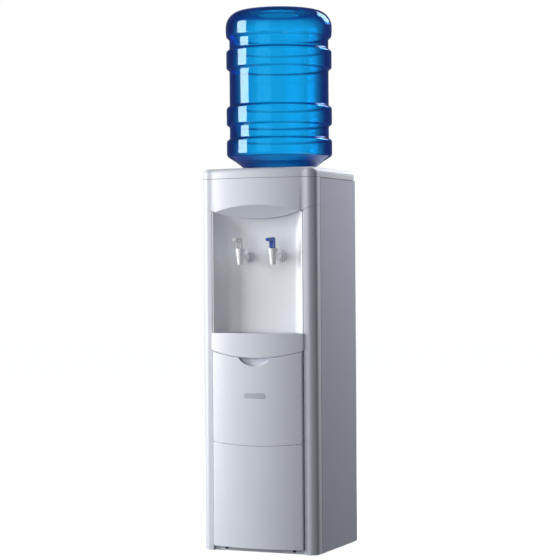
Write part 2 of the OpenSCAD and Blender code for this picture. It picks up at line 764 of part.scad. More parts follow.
// Funnel that carries the bottle's shoulder
module bottle_seat() placed() color([0.86, 0.88, 0.91])
    translate([0, bottle_y, 0]) rotate_extrude($fn = 144) {
        foot = probe_z + probe_t;
        top_r = shoulder_r(seat_rim_z + 0.4);
        low_z = shoulder_at(collar_r) - 0.4;
        slope_drop = 2.9;
        polygon([[collar_r, foot], [collar_r, low_z], [top_r, seat_rim_z], [seat_flange_r, seat_rim_z],
            [seat_flange_r, cover_top_z], [seat_flange_r - 8.5, cover_top_z],
            [seat_flange_r - 8.5, cover_top_z - 3], [top_r + 1, cover_top_z - 3],
            [collar_r + 2.5, low_z - slope_drop], [collar_r + 2.5, foot]]);
    }

shoulder_r1 = 90;
shoulder_z1 = 966;
function shoulder_at(r) = shoulder_z + (shoulder_z1 - shoulder_z) * (r - neck_r) / (shoulder_r1 - neck_r);
function shoulder_r(z) = neck_r + (shoulder_r1 - neck_r) * (z - shoulder_z) / (shoulder_z1 - shoulder_z);

// Hollow probe that opens the cap and lets the water down
module feed_probe() placed() color([0.88, 0.89, 0.9])
    translate([0, bottle_y, 0]) difference() {
        union() {
            translate([0, 0, probe_z]) cylinder(r = collar_r + 2.5, h = probe_t);
            translate([0, 0, probe_z - 8]) cylinder(r = probe_r, h = 46);
            translate([0, 0, probe_z + 38 - eps]) cylinder(r1 = probe_r, r2 = probe_r - 2.5, h = 6);
        }
        translate([0, 0, probe_z - 9]) cylinder(r = probe_r - 2, h = 44);
        translate([0, 0, probe_z + 36]) along_x(3, 0, 0, -20, 20);
        for (a = [0:60:300]) rotate(a) translate([20, 0, probe_z - 1]) cylinder(r = 6, h = probe_t + 2);
    }

// Outline of the bottle drawn in by t: neck, shoulder, three rings, bulge and rounded base
function bottle_outline(t) = let (r = ring_r - t, w = waist_r - t, top = bottle_top_z - t)
    concat([[0, neck_z - (t > 0 ? 5 : 0)], [neck_r - t, neck_z - (t > 0 ? 5 : 0)], [neck_r - t, shoulder_z + t / 2],
        [shoulder_r1 - t / 2, shoulder_z1 + t * 0.8], [113 - t * 0.7, 985 + t * 0.7], [131 - t, 996]],
        [[r, 1002], [r, 1037], [w, 1043]], ring_points(1079, 1121, r, w), ring_points(1223, 1266, r, w),
        [[w, 1296], [r, 1304], [r + 1, 1316]],
        [for (a = [0:10:90]) [r + 1 - 42 + 42 * cos(a), top - 42 + 42 * sin(a)]],
        [[60, top], [54, top - 8], [0, top - 8]]);
function ring_points(z0, z1, r, w) = [[w, z0 - 6], [r, z0], [r, z1], [w, z1 + 6]];

// Blown bottle, standing on its neck
module bottle() placed() color([0.1, 0.55, 0.9, 0.6])
    translate([0, bottle_y, 0]) difference() {
        rotate_extrude($fn = 144) polygon(bottle_outline(0));
        rotate_extrude($fn = 144) polygon(bottle_outline(bottle_t));
    }

// Snap cap with the hole that the probe enters
module bottle_cap() placed() color([0.2, 0.45, 0.8])
    translate([0, bottle_y, 0]) difference() {
        translate([0, 0, neck_z - 4]) cylinder(r = cap_r, h = 24);
        translate([0, 0, neck_z - 0.05]) cylinder(r = neck_r + 0.1, h = 30);
        translate([0, 0, neck_z - 6]) cylinder(r = probe_r + 1, h = 10);
    }

// ---- cooling unit ----

module compressor_corners()
    for (x = [-1, 1], y = [-1, 1]) translate([x * 62, comp_y + y * 50, 0]) children();

// Hermetic compressor on its foot plate, with three stubs
module compressor() placed() color([0.1, 0.1, 0.11]) {
    difference() {
        union() {
            translate([-74, comp_y - 62, comp_plate_z]) cube([148, 124, 2.5]);
            translate([0, comp_y, 0]) rotate_extrude() compressor_outline(0);
            translate([0, comp_y, comp_z + comp_h * 0.55]) cylinder(r = comp_r + 3, h = 5);
        }
        translate([0, comp_y, 0]) rotate_extrude() compressor_outline(10);
        compressor_corners() translate([0, 0, comp_plate_z - 1]) cylinder(r = 3.4, h = 5);
    }
    for (x = [-24, 0, 24]) translate([x, comp_y + comp_r - 8, 0]) compressor_stub();
}

// Half outline of the compressor's shell, drawn in by t
module compressor_outline(t)
    polygon(concat([[0, comp_z - 1 + t]],
        [for (a = [-90:15:0]) [comp_r - 16 + (16 - t) * cos(a), comp_z + 15 + (16 - t) * sin(a)]],
        [for (a = [0:15:90]) [comp_r - 34 + (34 - t) * cos(a), comp_z + comp_h - 34 + (34 - t) * sin(a)]],
        [[0, comp_z + comp_h - t]]));

module compressor_stub() translate([0, 0, comp_z + 50]) rotate([-90, 0, 0]) cylinder(r = 3.5, h = 24);

module compressor_mounts() placed() color([0.15, 0.15, 0.15])
    compressor_corners() tube(9, 3.4, pan_floor_z, mount_h);

module compressor_bolts() placed() color([0.65, 0.66, 0.68])
    compressor_corners() {
        translate([0, 0, foot_h - 0.8]) cylinder(r = 3, h = comp_z - foot_h + 0.8 + eps);
        translate([0, 0, comp_z]) cylinder(r = 6, h = 4, $fn = 6);
    }

module relay_cover() placed() color([0.16, 0.16, 0.17])
    difference() {
        translate([comp_r + 4, comp_y - 24, comp_z + 28]) cube([22, 48, 50]);
        translate([comp_r + 3, comp_y - 22, comp_z + 30]) cube([21, 44, 46]);
    }

// Copper drier with necked ends
module filter_drier() placed() color([0.72, 0.45, 0.3])
    translate([-112, 248, 0]) {
        translate([0, 0, 70]) cylinder(r1 = 3, r2 = 9, h = 12);
        translate([0, 0, 82 - eps]) cylinder(r = 9, h = 80 + 2 * eps);
        translate([0, 0, 162]) cylinder(r1 = 9, r2 = 3, h = 12);
    }

// Serpentine tube on the back
module condenser_tube() placed() color([0.14, 0.14, 0.15]) {
    bend = cond_pitch / 2;
    for (i = [0:cond_rows - 1])
        along_x(cond_r, cond_y, cond_z + i * cond_pitch, -cond_hw, cond_hw);
    for (i = [0:cond_rows - 2])
        translate([(i % 2 == 0 ? 1 : -1) * cond_hw, cond_y, cond_z + (i + 0.5) * cond_pitch])
            rotate([90, i % 2 == 0 ? 0 : 180, 0]) rotate([0, 0, -90]) rotate_extrude(angle = 180)
                translate([bend, 0]) circle(r = cond_r);
}

module condenser_wires() placed() color([0.14, 0.14, 0.15])
    for (x = [-105:10:105], s = [-1, 1])
        translate([x, cond_y + s * wire_y, cond_z - 8])
            cylinder(r = wire_r, h = (cond_rows - 1) * cond_pitch + 16, $fn = 16);

// Stand-offs between the back and the condenser
module condenser_brackets() placed() color([0.3, 0.3, 0.32])
    for (s = [-1, 1], i = [2, cond_rows - 4])
        translate([s * (cond_hw + 8) - 5, rear_y, cond_z + (i + 0.5) * cond_pitch - 16]) {
            cube([10, 1.5, 32]);
            cube([10, cond_y - cond_r - 0.3 - rear_y, 3]);
            translate([0, 0, 29]) cube([10, cond_y - cond_r - 0.3 - rear_y, 3]);
        }

cond_end_x = cond_hw + 0.3;
cond_top_z = cond_z + (cond_rows - 1) * cond_pitch;
stub_y = comp_y + comp_r + 16.3;
stub_z = comp_z + 50;
line_r = 2.4;
riser_y = 274;

module discharge_line() placed() color([0.72, 0.45, 0.3])
    pipe(rounded([[24, stub_y, stub_z], [24, 264, stub_z], [60, 264, stub_z], [60, cond_y, stub_z],
        [140, cond_y, stub_z + 20], [140, cond_y, cond_top_z], [cond_end_x, cond_y, cond_top_z]], 9), line_r);

module liquid_line() placed() color([0.72, 0.45, 0.3])
    pipe(rounded([[-cond_end_x, cond_y, cond_z], [-135, cond_y, cond_z], [-135, cond_y, 195],
        [-112, cond_y, 188], [-112, 248, 195], [-112, 248, 174.3]], 8), 2);

module suction_line() placed() color([0.72, 0.45, 0.3])
    pipe(rounded([[0, stub_y, stub_z], [0, riser_y, stub_z], [0, riser_y, 740], [110, riser_y, 740],
        [110, riser_y, lid_z + 12],
        [0, bottle_y + coil_r, lid_z + 12], [0, bottle_y + coil_r, tank_z + 91.4]], 10), 3);

module capillary() placed() color([0.72, 0.45, 0.3])
    pipe(rounded([[-112, 248, 69.7], [-112, 248, 50], [-130, 266, 50], [-130, 266, 740]], 8), 1);

// Thermostat behind the back, with its shaft
module thermostat() placed() color([0.85, 0.85, 0.83]) {
    translate([control_x - 20, body_d - 32, control_z - 17]) cube([40, 32, 34]);
    along_y(shaft_r, control_x, control_z, body_d - eps, rear_y + 9);
}

module thermostat_knob() placed() color([0.15, 0.15, 0.16])
    difference() {
        union() {
            along_y(knob_r, control_x, control_z, rear_y + 0.5, rear_y + 8);
            translate([control_x - 2.5, rear_y + 7, control_z - knob_r + 1]) cube([5, 6, 2 * knob_r - 2]);
        }
        along_y(shaft_r + running, control_x, control_z, rear_y - 1, rear_y + 9.3);
    }

// Bush where the mains lead enters
module cord_gland() placed() color([0.12, 0.12, 0.13])
    difference() {
        union() {
            along_y(10, -control_x, control_z, rear_y, rear_y + 3.5);
            along_y(6.8, -control_x, control_z, body_d - 6, rear_y + eps);
            along_y(7, -control_x, control_z, rear_y + 3, rear_y + 12);
        }
        along_y(3.6, -control_x, control_z, body_d - 8, rear_y + 14);
    }

base_pan();
feet();
front_frame();
plinth_screws();
fascia();
niche_liner();
top_cover();
bottle_seat();
feed_probe();
bottle();
bottle_cap();
reservoir();
reservoir_lid();
evaporator_coil();
insulation();
tank_shelf();
hose_cold();
hose_ambient();
tap_left();
tap_right();
tap_bonnet_left();
tap_bonnet_right();
tap_nuts();
tap_gaskets();
lever_left();
lever_right();
lever_pins();
plunger_left();
plunger_right();
spring_left();
spring_right();
drip_tray();
drip_grille();
upper_panel();
badge_plate();
lower_panel();
side_panel_left();
side_panel_right();
rear_panel();
rear_screws();
condenser_tube();
condenser_wires();
condenser_brackets();
compressor();
compressor_mounts();
compressor_bolts();
relay_cover();
filter_drier();
discharge_line();
liquid_line();
capillary();
suction_line();
thermostat();
thermostat_knob();
cord_gland();
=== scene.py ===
"""Floor-standing water dispenser with an inverted bottle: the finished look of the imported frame.

Every new piece is drawn in bench millimetres: x to the right, y back from the flat column faces, z up
from the floor. Bench.place() takes a finished mesh to the frame's metres.
"""

import sys

import logging
import math
from dataclasses import dataclass
from enum import Enum
from functools import cache
from typing import Callable, Sequence

import bmesh
import bpy
from mathutils import Matrix, Vector


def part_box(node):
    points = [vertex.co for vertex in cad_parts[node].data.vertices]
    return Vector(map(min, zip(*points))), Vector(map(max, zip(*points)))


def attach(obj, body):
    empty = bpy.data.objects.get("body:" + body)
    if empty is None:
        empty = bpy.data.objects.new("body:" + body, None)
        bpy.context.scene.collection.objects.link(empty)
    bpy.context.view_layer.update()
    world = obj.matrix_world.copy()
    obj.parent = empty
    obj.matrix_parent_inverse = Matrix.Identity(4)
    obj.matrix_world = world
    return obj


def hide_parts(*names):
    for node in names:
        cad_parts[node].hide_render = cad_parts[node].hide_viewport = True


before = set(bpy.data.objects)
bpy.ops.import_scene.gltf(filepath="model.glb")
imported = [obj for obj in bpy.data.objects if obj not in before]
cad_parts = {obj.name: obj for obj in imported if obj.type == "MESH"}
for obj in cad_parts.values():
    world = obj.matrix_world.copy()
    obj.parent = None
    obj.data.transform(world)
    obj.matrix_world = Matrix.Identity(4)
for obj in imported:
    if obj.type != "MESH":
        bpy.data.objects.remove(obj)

log = logging.getLogger("dispenser")
MM = 0.001
Point = tuple[float, float]
Corner = tuple[float, float, float]
Tree = bpy.types.NodeTree
Socket = bpy.types.NodeSocket
MIX_FIRST, MIX_SECOND, MIX_RESULT = 6, 7, 2  # colour sockets of a mix node
NOISE_LOW, NOISE_HIGH = 0.3, 0.7  # where nearly all of a noise texture's values lie
WHITE = (1.0, 1.0, 1.0, 1.0)


class Side(Enum):
    """Which side of the middle a piece is on, as its sign along x."""

    LEFT = -1
    RIGHT = 1


class Spin(Enum):
    """Axis that a turned piece is spun about."""

    UPRIGHT = (0.0, 0.0, 1.0)
    FORE_AFT = (0.0, 1.0, 0.0)


# ---- drawing ----


def arc(centre: Point, radius: float, start: float, end: float, steps: int) -> list[Point]:
    """Points along a circular arc.

    Args:
        centre: centre of the circle.
        radius: its radius.
        start: first angle in degrees, from the first axis towards the second.
        end: last angle in degrees.
        steps: number of chords.

    Returns:
        steps + 1 points.
    """
    angles = [math.radians(start + (end - start) * i / steps) for i in range(steps + 1)]
    return [(centre[0] + radius * math.cos(a), centre[1] + radius * math.sin(a)) for a in angles]


def rounded(corners: Sequence[Corner], steps: int = 5) -> list[Point]:
    """An open line whose inner corners are rounded by arcs.

    Args:
        corners: (first, second, radius) of each corner. The two ends keep their place.
        steps: chords in each rounded corner.

    Returns:
        The line's points, always the same number for the same number of corners.
    """
    line = [(corners[0][0], corners[0][1])]
    for before, here, after in zip(corners, corners[1:], corners[2:]):
        p = Vector(here[:2])
        a, b = Vector(before[:2]) - p, Vector(after[:2]) - p
        if min(a.length, b.length) < 1e-6:
            line += [tuple(p)] * (steps + 1)
            continue
        half = a.angle(b) / 2
        reach = min(here[2] / max(math.tan(half), 1e-6), 0.49 * a.length, 0.49 * b.length)
        start, end = p + a.normalized() * reach, p + b.normalized() * reach
        weight = math.sin(half)
        for i in range(steps + 1):
            t = i / steps
            w = (1 - t) ** 2 + 2 * t * (1 - t) * weight + t * t
            q = ((1 - t) ** 2 * start + 2 * t * (1 - t) * weight * p + t * t * end) / w
            line.append((q.x, q.y))
    line.append((corners[-1][0], corners[-1][1]))
    return line


def inward(line: Sequence[Point], closed: bool) -> list[Vector]:
    """Unit normals to the left of a plan line, which point into the cabinet.

    Args:
        line: points of the line.
        closed: whether the last point joins the first.

    Returns:
        One normal for each point.
    """
    count = len(line)
    normals = []
    for i in range(count):
        a = line[(i - 1) % count] if closed else line[max(i - 1, 0)]
        b = line[(i + 1) % count] if closed else line[min(i + 1, count - 1)]
        along = (Vector(b) - Vector(a)).normalized()
        normals.append(Vector((-along.y, along.x)))
    return normals


def spread(low: float, high: float, count: int) -> list[float]:
    """count + 1 evenly spaced values from low to high."""
    return [low + (high - low) * i / count for i in range(count + 1)]


def loft(bm: bmesh.types.BMesh, sections: Sequence[Sequence[Vector]], closed: bool = False) -> None:
    """Sweeps a line of edges through the matching points of a row of sections.

    Args:
        bm: mesh that takes the surface.
        sections: one list of points for each station, all of the same length.
        closed: whether the last station joins the first.
    """
    station = bm.verts.layers.int.get("station") or bm.verts.layers.int.new("station")
    line = []
    for index, section in enumerate(sections):
        vert = bm.verts.new(section[0])
        vert[station] = index
        line.append(vert)
    pairs = list(zip(line, line[1:])) + ([(line[-1], line[0])] if closed else [])
    edges = [bm.edges.new(pair) for pair in pairs]
    for step in range(1, len(sections[0])):
        grown = bmesh.ops.extrude_edge_only(bm, edges=edges)["geom"]
        verts = {g for g in grown if isinstance(g, bmesh.types.BMVert)}
        for vert in verts:
            vert.co = sections[vert[station]][step]
        edges = [
            g for g in grown if isinstance(g, bmesh.types.BMEdge) and set(g.verts) <= verts
        ]


def turned(
    bm: bmesh.types.BMesh,
    outline: Sequence[Point],
    centre: Vector,
    spin: Spin = Spin.UPRIGHT,
    steps: int = 64,
) -> None:
    """Spins an outline of (radius, height) points through a full turn.

    Args:
        bm: mesh that takes the turned surface.
        outline: radius from the axis and distance along it, for each point.
        centre: point of the axis where the distance along it is 0.
        spin: axis of the turn.
        steps: facets round the turn.
    """
    axis = Vector(spin.value)
    verts = [bm.verts.new(centre + Vector((r, 0, 0)) + axis * h) for r, h in outline]
    edges = [bm.edges.new(pair) for pair in zip(verts, verts[1:])]
    bmesh.ops.spin(
        bm, geom=verts + edges, cent=centre, axis=axis, dvec=(0, 0, 0), angle=math.tau,
        steps=steps, use_merge=True, use_normal_flip=False, use_duplicate=False,
    )


def mend(bm: bmesh.types.BMesh, gap: float = 0.002) -> None:
    """Merges doubled points, drops what they leave flat and turns the faces outwards."""
    bmesh.ops.remove_doubles(bm, verts=bm.verts, dist=gap)
    bmesh.ops.dissolve_degenerate(bm, edges=bm.edges, dist=gap)
    bmesh.ops.recalc_face_normals(bm, faces=bm.faces)


def shell(sections: Sequence[Sequence[Vector]], closed: bool = False) -> bmesh.types.BMesh:
    """A new mesh, lofted through a row of sections and mended."""
    bm = bmesh.new()
    loft(bm, sections, closed)
    mend(bm)
    return bm


def soften(bm: bmesh.types.BMesh, width: float, over: float = 40, segments: int = 3) -> None:
    """Bevels every edge that turns by more than an angle.

    Args:
        bm: mesh to work on.
        width: width of the bevel in millimetres.
        over: smallest turn in degrees that is bevelled.
        segments: facets across the bevel.
    """
    edges = [
        e for e in bm.edges
        if len(e.link_faces) == 2 and e.calc_face_angle(0) > math.radians(over)
    ]
    bmesh.ops.bevel(
        bm, geom=edges, offset=width, offset_type="OFFSET", segments=segments, profile=0.5,
        affect="EDGES", clamp_overlap=True, material=-1,
    )


def prism(
    bm: bmesh.types.BMesh, outline: Sequence[Vector], along: Vector
) -> list[bmesh.types.BMVert]:
    """Extrudes a flat outline into a closed block.

    Args:
        bm: mesh that takes the block.
        outline: corners of the flat face, in order.
        along: how far and which way it is extruded.

    Returns:
        The block's points.
    """
    face = bm.faces.new([bm.verts.new(p) for p in outline])
    verts = list(face.verts)
    grown = bmesh.ops.extrude_face_region(bm, geom=[face], use_keep_orig=True)["geom"]
    top = [g for g in grown if isinstance(g, bmesh.types.BMVert)]
    bmesh.ops.translate(bm, verts=top, vec=along)
    return verts + top


def bar(bm: bmesh.types.BMesh, low: Vector, high: Vector, width: float = 0.6) -> None:
    """Adds a straight bar between two corners, with its long edges eased by the given width."""
    size = high - low
    made = bmesh.ops.create_cube(bm, size=1)["verts"]
    bmesh.ops.scale(bm, verts=made, vec=size)
    bmesh.ops.translate(bm, verts=made, vec=(low + high) / 2)
    edges = {e for v in made for e in v.link_edges}
    bmesh.ops.bevel(
        bm, geom=list(edges), offset=width, offset_type="OFFSET", segments=2, profile=0.5,
        affect="EDGES", clamp_overlap=True, material=-1,
    )


# ---- finishes ----


def linear(code: str) -> tuple[float, float, float, float]:
    """Linear RGBA of an sRGB hex value such as #E4E6EC."""
    values = [int(code[i : i + 2], 16) / 255 for i in (1, 3, 5)]
    curve = [v / 12.92 if v <= 0.04045 else ((v + 0.055) / 1.055) ** 2.4 for v in values]
    return (*curve, 1.0)


def add(tree: Tree, kind: str, inputs: dict | None = None, **settings: object) -> bpy.types.Node:
    """Adds a node with its settings and links.

    Args:
        tree: node tree that takes it.
        kind: the node's type name.
        inputs: value or source socket for each named or numbered input.
        settings: attributes of the node itself.

    Returns:
        The new node.
    """
    node = tree.nodes.new(kind)
    for name, value in settings.items():
        setattr(node, name, value)
    for name, value in (inputs or {}).items():
        if isinstance(value, Socket):
            tree.links.new(value, node.inputs[name])
        else:
            node.inputs[name].default_value = value
    return node


def per_metre(pitch_mm: float) -> float:
    """Texture scale on Object coordinates for a pattern that repeats every pitch_mm."""
    return 1000 / pitch_mm


def noise(
    tree: Tree, place: Socket, scale: float, detail: float, roughness: float = 0.5, warp: float = 0.0
) -> Socket:
    """Adds a cloudy pattern.

    Args:
        tree: node tree that takes it.
        place: coordinates that it is drawn on.
        scale: repeats for each unit of the coordinates.
        detail: number of finer layers.
        roughness: strength of the finer layers.
        warp: how far the pattern is pulled out of shape.

    Returns:
        The pattern's amount.
    """
    return add(tree, "ShaderNodeTexNoise", {
        "Vector": place, "Scale": scale, "Detail": detail, "Roughness": roughness, "Distortion": warp,
    }).outputs["Fac"]


def blended(tree: Tree, amount: Socket, first: str, second: str) -> Socket:
    """Colour that goes from one hex value to another as the amount goes from 0 to 1."""
    return add(tree, "ShaderNodeMix", {
        "Factor": amount, MIX_FIRST: linear(first), MIX_SECOND: linear(second),
    }, data_type="RGBA").outputs[MIX_RESULT]


def ranged(tree: Tree, amount: Socket, source: Point, target: Point) -> Socket:
    """Value that goes through the target range as the amount goes through the source range."""
    return add(tree, "ShaderNodeMapRange", {
        "Value": amount, "From Min": source[0], "From Max": source[1],
        "To Min": target[0], "To Max": target[1],
    }).outputs[0]


def relief(tree: Tree, height: Socket, strength: float, depth_mm: float) -> Socket:
    """Normal that is bumped by a pattern of the given depth."""
    return add(tree, "ShaderNodeBump", {
        "Height": height, "Strength": strength, "Distance": depth_mm * MM,
    }).outputs[0]


def new_material(name: str, draw: Callable[[Tree], dict]) -> bpy.types.Material:
    """Makes a material.

    Args:
        name: the material's name.
        draw: adds nodes to the tree it is given, and returns the shader's inputs.

    Returns:
        The material.
    """
    material = bpy.data.materials.new(name)
    material.use_nodes = True
    tree = material.node_tree
    tree.nodes.clear()
    shader = add(tree, "ShaderNodeBsdfPrincipled", draw(tree))
    add(tree, "ShaderNodeOutputMaterial", {"Surface": shader.outputs[0]})
    return material


@dataclass(frozen=True)
class Finish:
    """A named finish, drawn once and shared by every piece that has it."""

    name: str

    def inputs(self, tree: Tree, place: Socket) -> dict:
        """Draws the finish in a node tree.

        Args:
            tree: the material's tree.
            place: the piece's Object coordinates.

        Returns:
            The shader's inputs.
        """
        raise NotImplementedError(self.name)

    @cache
    def material(self) -> bpy.types.Material:
        """The finish's material, made at its first use."""
        return new_material(self.name, lambda tree: self.inputs(
            tree, add(tree, "ShaderNodeTexCoord").outputs["Object"]))


@dataclass(frozen=True)
class MouldedPlastic(Finish):
    """Injection-moulded ABS or polypropylene: an even skin, faint flow marks and a fine eroded grain.

    The flow marks shift the colour a little over a hand's width, and the grain breaks up the gloss.
    """

    colour: str
    flow_colour: str
    roughness: float = 0.38
    ior: float = 1.5
    grain_depth_mm: float = 0.012
    flow_mm: float = 170.0
    subsurface: float = 0.0
    grain_mm: float = 2.4  # real grain is near 0.1 mm; drawn coarse enough to show

    def inputs(self, tree: Tree, place: Socket) -> dict:
        """Draws the flow marks and the grain."""
        flow = noise(tree, place, per_metre(self.flow_mm), 3.0, 0.45, warp=0.6)
        grain = noise(tree, place, per_metre(self.grain_mm), 2.0, 0.6)
        return {
            "Base Color": blended(tree, flow, self.colour, self.flow_colour),
            "Roughness": ranged(tree, grain, (NOISE_LOW, NOISE_HIGH),
                                (self.roughness - 0.04, self.roughness + 0.06)),
            "IOR": self.ior, "Subsurface Weight": self.subsurface,
            "Subsurface Radius": (0.004, 0.004, 0.005),
            "Normal": relief(tree, grain, 0.6, self.grain_depth_mm),
        }


@dataclass(frozen=True)
class PaintedSteel(Finish):
    """Powder-coated sheet: a soft orange peel under an even satin gloss."""

    colour: str
    dust_colour: str
    roughness: float = 0.42
    dust_mm: float = 240.0
    peel_mm: float = 5.0  # real peel is near 1.5 mm; drawn coarse enough to show
    peel_depth_mm: float = 0.03

    def inputs(self, tree: Tree, place: Socket) -> dict:
        """Draws the orange peel and a film of dust."""
        peel = noise(tree, place, per_metre(self.peel_mm), 1.5)
        dust = noise(tree, place, per_metre(self.dust_mm), 4.0, 0.55)
        return {
            "Base Color": blended(tree, dust, self.colour, self.dust_colour),
            "Roughness": ranged(tree, dust, (NOISE_LOW, NOISE_HIGH),
                                (self.roughness - 0.04, self.roughness + 0.06)),
            "IOR": 1.5, "Normal": relief(tree, peel, 0.5, self.peel_depth_mm),
        }


@dataclass(frozen=True)
class SheetMetal(Finish):
    """Bare metal with a visible surface pattern: zinc spangle, or the run of a rolling mill."""

    colour: str
    shade_colour: str
    roughness: float
    pattern_mm: Corner
    crystals: bool = False
    pattern_depth_mm: float = 0.01

    def inputs(self, tree: Tree, place: Socket) -> dict:
        """Draws the spangle or the rolling marks."""
        stretched = add(tree, "ShaderNodeMapping", {
            "Vector": place, "Scale": [per_metre(p) for p in self.pattern_mm],
        }).outputs[0]
        if self.crystals:
            pattern = add(tree, "ShaderNodeTexVoronoi", {"Vector": stretched, "Scale": 1.0})
            amount = add(tree, "ShaderNodeSeparateColor", {0: pattern.outputs["Color"]}).outputs[0]
        else:
            amount = noise(tree, stretched, 1.0, 4.0, 0.6)
        return {
            "Base Color": blended(tree, amount, self.colour, self.shade_colour), "Metallic": 1.0,
            "Roughness": ranged(tree, amount, (0.0, 1.0), (self.roughness - 0.07, self.roughness + 0.09)),
            "Normal": relief(tree, amount, 0.25, self.pattern_depth_mm),
        }


@dataclass(frozen=True)
class TintedPolycarbonate(Finish):
    """Blow-moulded clear polycarbonate: glossy, its tint deepened towards the rim, partly the longer path
    through the wall and partly painted shade.
    """

    face_colour: str
    rim_tint_and_shade_colour: str
    roughness: float = 0.03
    ior: float = 1.45
    scuff_mm: float = 9.0
    ripple_mm: float = 60.0
    ripple_depth_mm: float = 0.35
    ripple_stretch: Corner = (1.0, 1.0, 0.35)
    tint_from: float = 0.05
    tint_full: float = 0.6

    def inputs(self, tree: Tree, place: Socket) -> dict:
        """Draws the blown wall's ripple, fine scuffs and the tint, which darkens towards the rim with
        painted shade.
        """
        drawn = add(tree, "ShaderNodeMapping", {"Vector": place, "Scale": self.ripple_stretch})
        ripple = noise(tree, drawn.outputs[0], per_metre(self.ripple_mm), 2.0)
        scuff = noise(tree, place, per_metre(self.scuff_mm), 5.0, 0.7)
        # painted shade: the base colour runs from the face colour to the dark rim colour as the wall turns
        # away from the eye, partly the tint's longer path and partly shade standing in for dark refracted
        # and reflected surroundings
        slant = add(tree, "ShaderNodeLayerWeight", {"Blend": 0.5})
        depth = add(tree, "ShaderNodeMapRange", {
            "Value": slant.outputs["Facing"], "From Min": self.tint_from, "From Max": self.tint_full,
        }, interpolation_type="SMOOTHSTEP")
        return {
            "Base Color": blended(tree, depth.outputs[0], self.face_colour, self.rim_tint_and_shade_colour),
            "Roughness": ranged(tree, scuff, (0.35, 0.75), (self.roughness, self.roughness + 0.06)),
            "IOR": self.ior, "Transmission Weight": 1.0,
            "Normal": relief(tree, ripple, 0.5, self.ripple_depth_mm),
        }


@dataclass(frozen=True)
class CellularSoft(Finish):
    """Foam, rubber or silicone: a matt skin with pores or bloom."""

    colour: str
    pore_colour: str
    roughness: float
    pore_mm: float
    pore_depth_mm: float
    bloom_mm: float = 25.0

    def inputs(self, tree: Tree, place: Socket) -> dict:
        """Draws the pores and the bloom."""
        pores = add(tree, "ShaderNodeTexVoronoi", {"Vector": place, "Scale": per_metre(self.pore_mm)})
        bloom = noise(tree, place, per_metre(self.bloom_mm), 4.0, 0.6)
        return {
            "Base Color": blended(tree, bloom, self.colour, self.pore_colour),
            "Roughness": self.roughness, "IOR": 1.45,
            "Normal": relief(tree, pores.outputs["Distance"], 0.5, self.pore_depth_mm),
        }


FRONT_ABS = MouldedPlastic("semi_gloss_white_abs", "#E2E6EF", "#DBE0E9", roughness=0.34)
NICHE_ABS = MouldedPlastic("moulded_white_abs_bay", "#EEF1F5", "#E8ECF1", roughness=0.4)
GRILLE_ABS = MouldedPlastic("moulded_grey_abs_grille", "#C9CED8", "#BFC5D0", roughness=0.45)
TAP_ABS = MouldedPlastic("polished_white_abs_tap", "#F8F9FB", "#F0F2F5", 0.2, grain_depth_mm=0.004)
LEVER_CLEAR = MouldedPlastic("natural_polypropylene_lever", "#FAFBFB", "#DDE2E2", roughness=0.16,
                             subsurface=0.3, grain_depth_mm=0.004, flow_mm=14.0)
LEVER_BLUE = MouldedPlastic("blue_polypropylene_lever", "#3B74DC", "#2A58BE", roughness=0.16,
                            grain_depth_mm=0.004, flow_mm=14.0)
BADGE_ABS = MouldedPlastic("matt_grey_abs_badge", "#C3C8D0", "#B8BEC7", roughness=0.3)
SEAT_ABS = MouldedPlastic("moulded_white_abs_seat", "#DDE1E8", "#D2D7E0", roughness=0.32)
CAP_PE = MouldedPlastic("blue_polyethylene_cap", "#3E7FCB", "#3573BE", roughness=0.4, subsurface=0.2)
PROBE_PP = MouldedPlastic("natural_polypropylene_probe", "#E6E9E8", "#D8DCDA", 0.4, subsurface=0.2)
CONTROL_ABS = MouldedPlastic("black_abs_control", "#24262A", "#1C1E22", roughness=0.4)
THERMOSTAT_PBT = MouldedPlastic("beige_pbt_housing", "#C9C2AE", "#BDB6A1", roughness=0.5)
SIDE_PAINT = PaintedSteel("powder_coated_steel_side", "#C6CAD8", "#BDC1D0")
BLACK_PAINT = PaintedSteel("black_enamelled_steel", "#1B1C1F", "#26272B", roughness=0.35)
ZINC = SheetMetal("galvanised_steel_sheet", "#B9BDC2", "#9CA1A8", 0.42, (14.0, 14.0, 14.0), crystals=True)
STAINLESS = SheetMetal("rolled_stainless_steel", "#C4C6C9", "#AEB1B5", 0.28, (60.0, 60.0, 1.5))
BRIGHT_STEEL = SheetMetal("zinc_plated_steel", "#C2C5CA", "#A6AAB0", 0.3, (3.0, 3.0, 3.0))
DARK_STEEL = SheetMetal("blackened_steel_screw", "#3A3C40", "#2A2C30", 0.45, (2.0, 2.0, 2.0))
COPPER = SheetMetal("drawn_copper_tube", "#C0744A", "#9E5936", 0.3, (12.0, 12.0, 12.0))
# the second colour is the rim's tint with painted shade
BOTTLE_PC = TintedPolycarbonate("blue_polycarbonate_bottle", "#40C8F0", "#021E70")
FOAM = CellularSoft("polyurethane_foam", "#E9E2C8", "#DACFAE", 0.85, 3.0, 0.4)
RUBBER = CellularSoft("black_nitrile_rubber", "#1C1D1F", "#2A2B2E", 0.7, 1.5, 0.05)
SILICONE = CellularSoft("milky_silicone_tube", "#E4E8E8", "#D4D9DA", 0.35, 2.5, 0.02)


# ---- bench ----


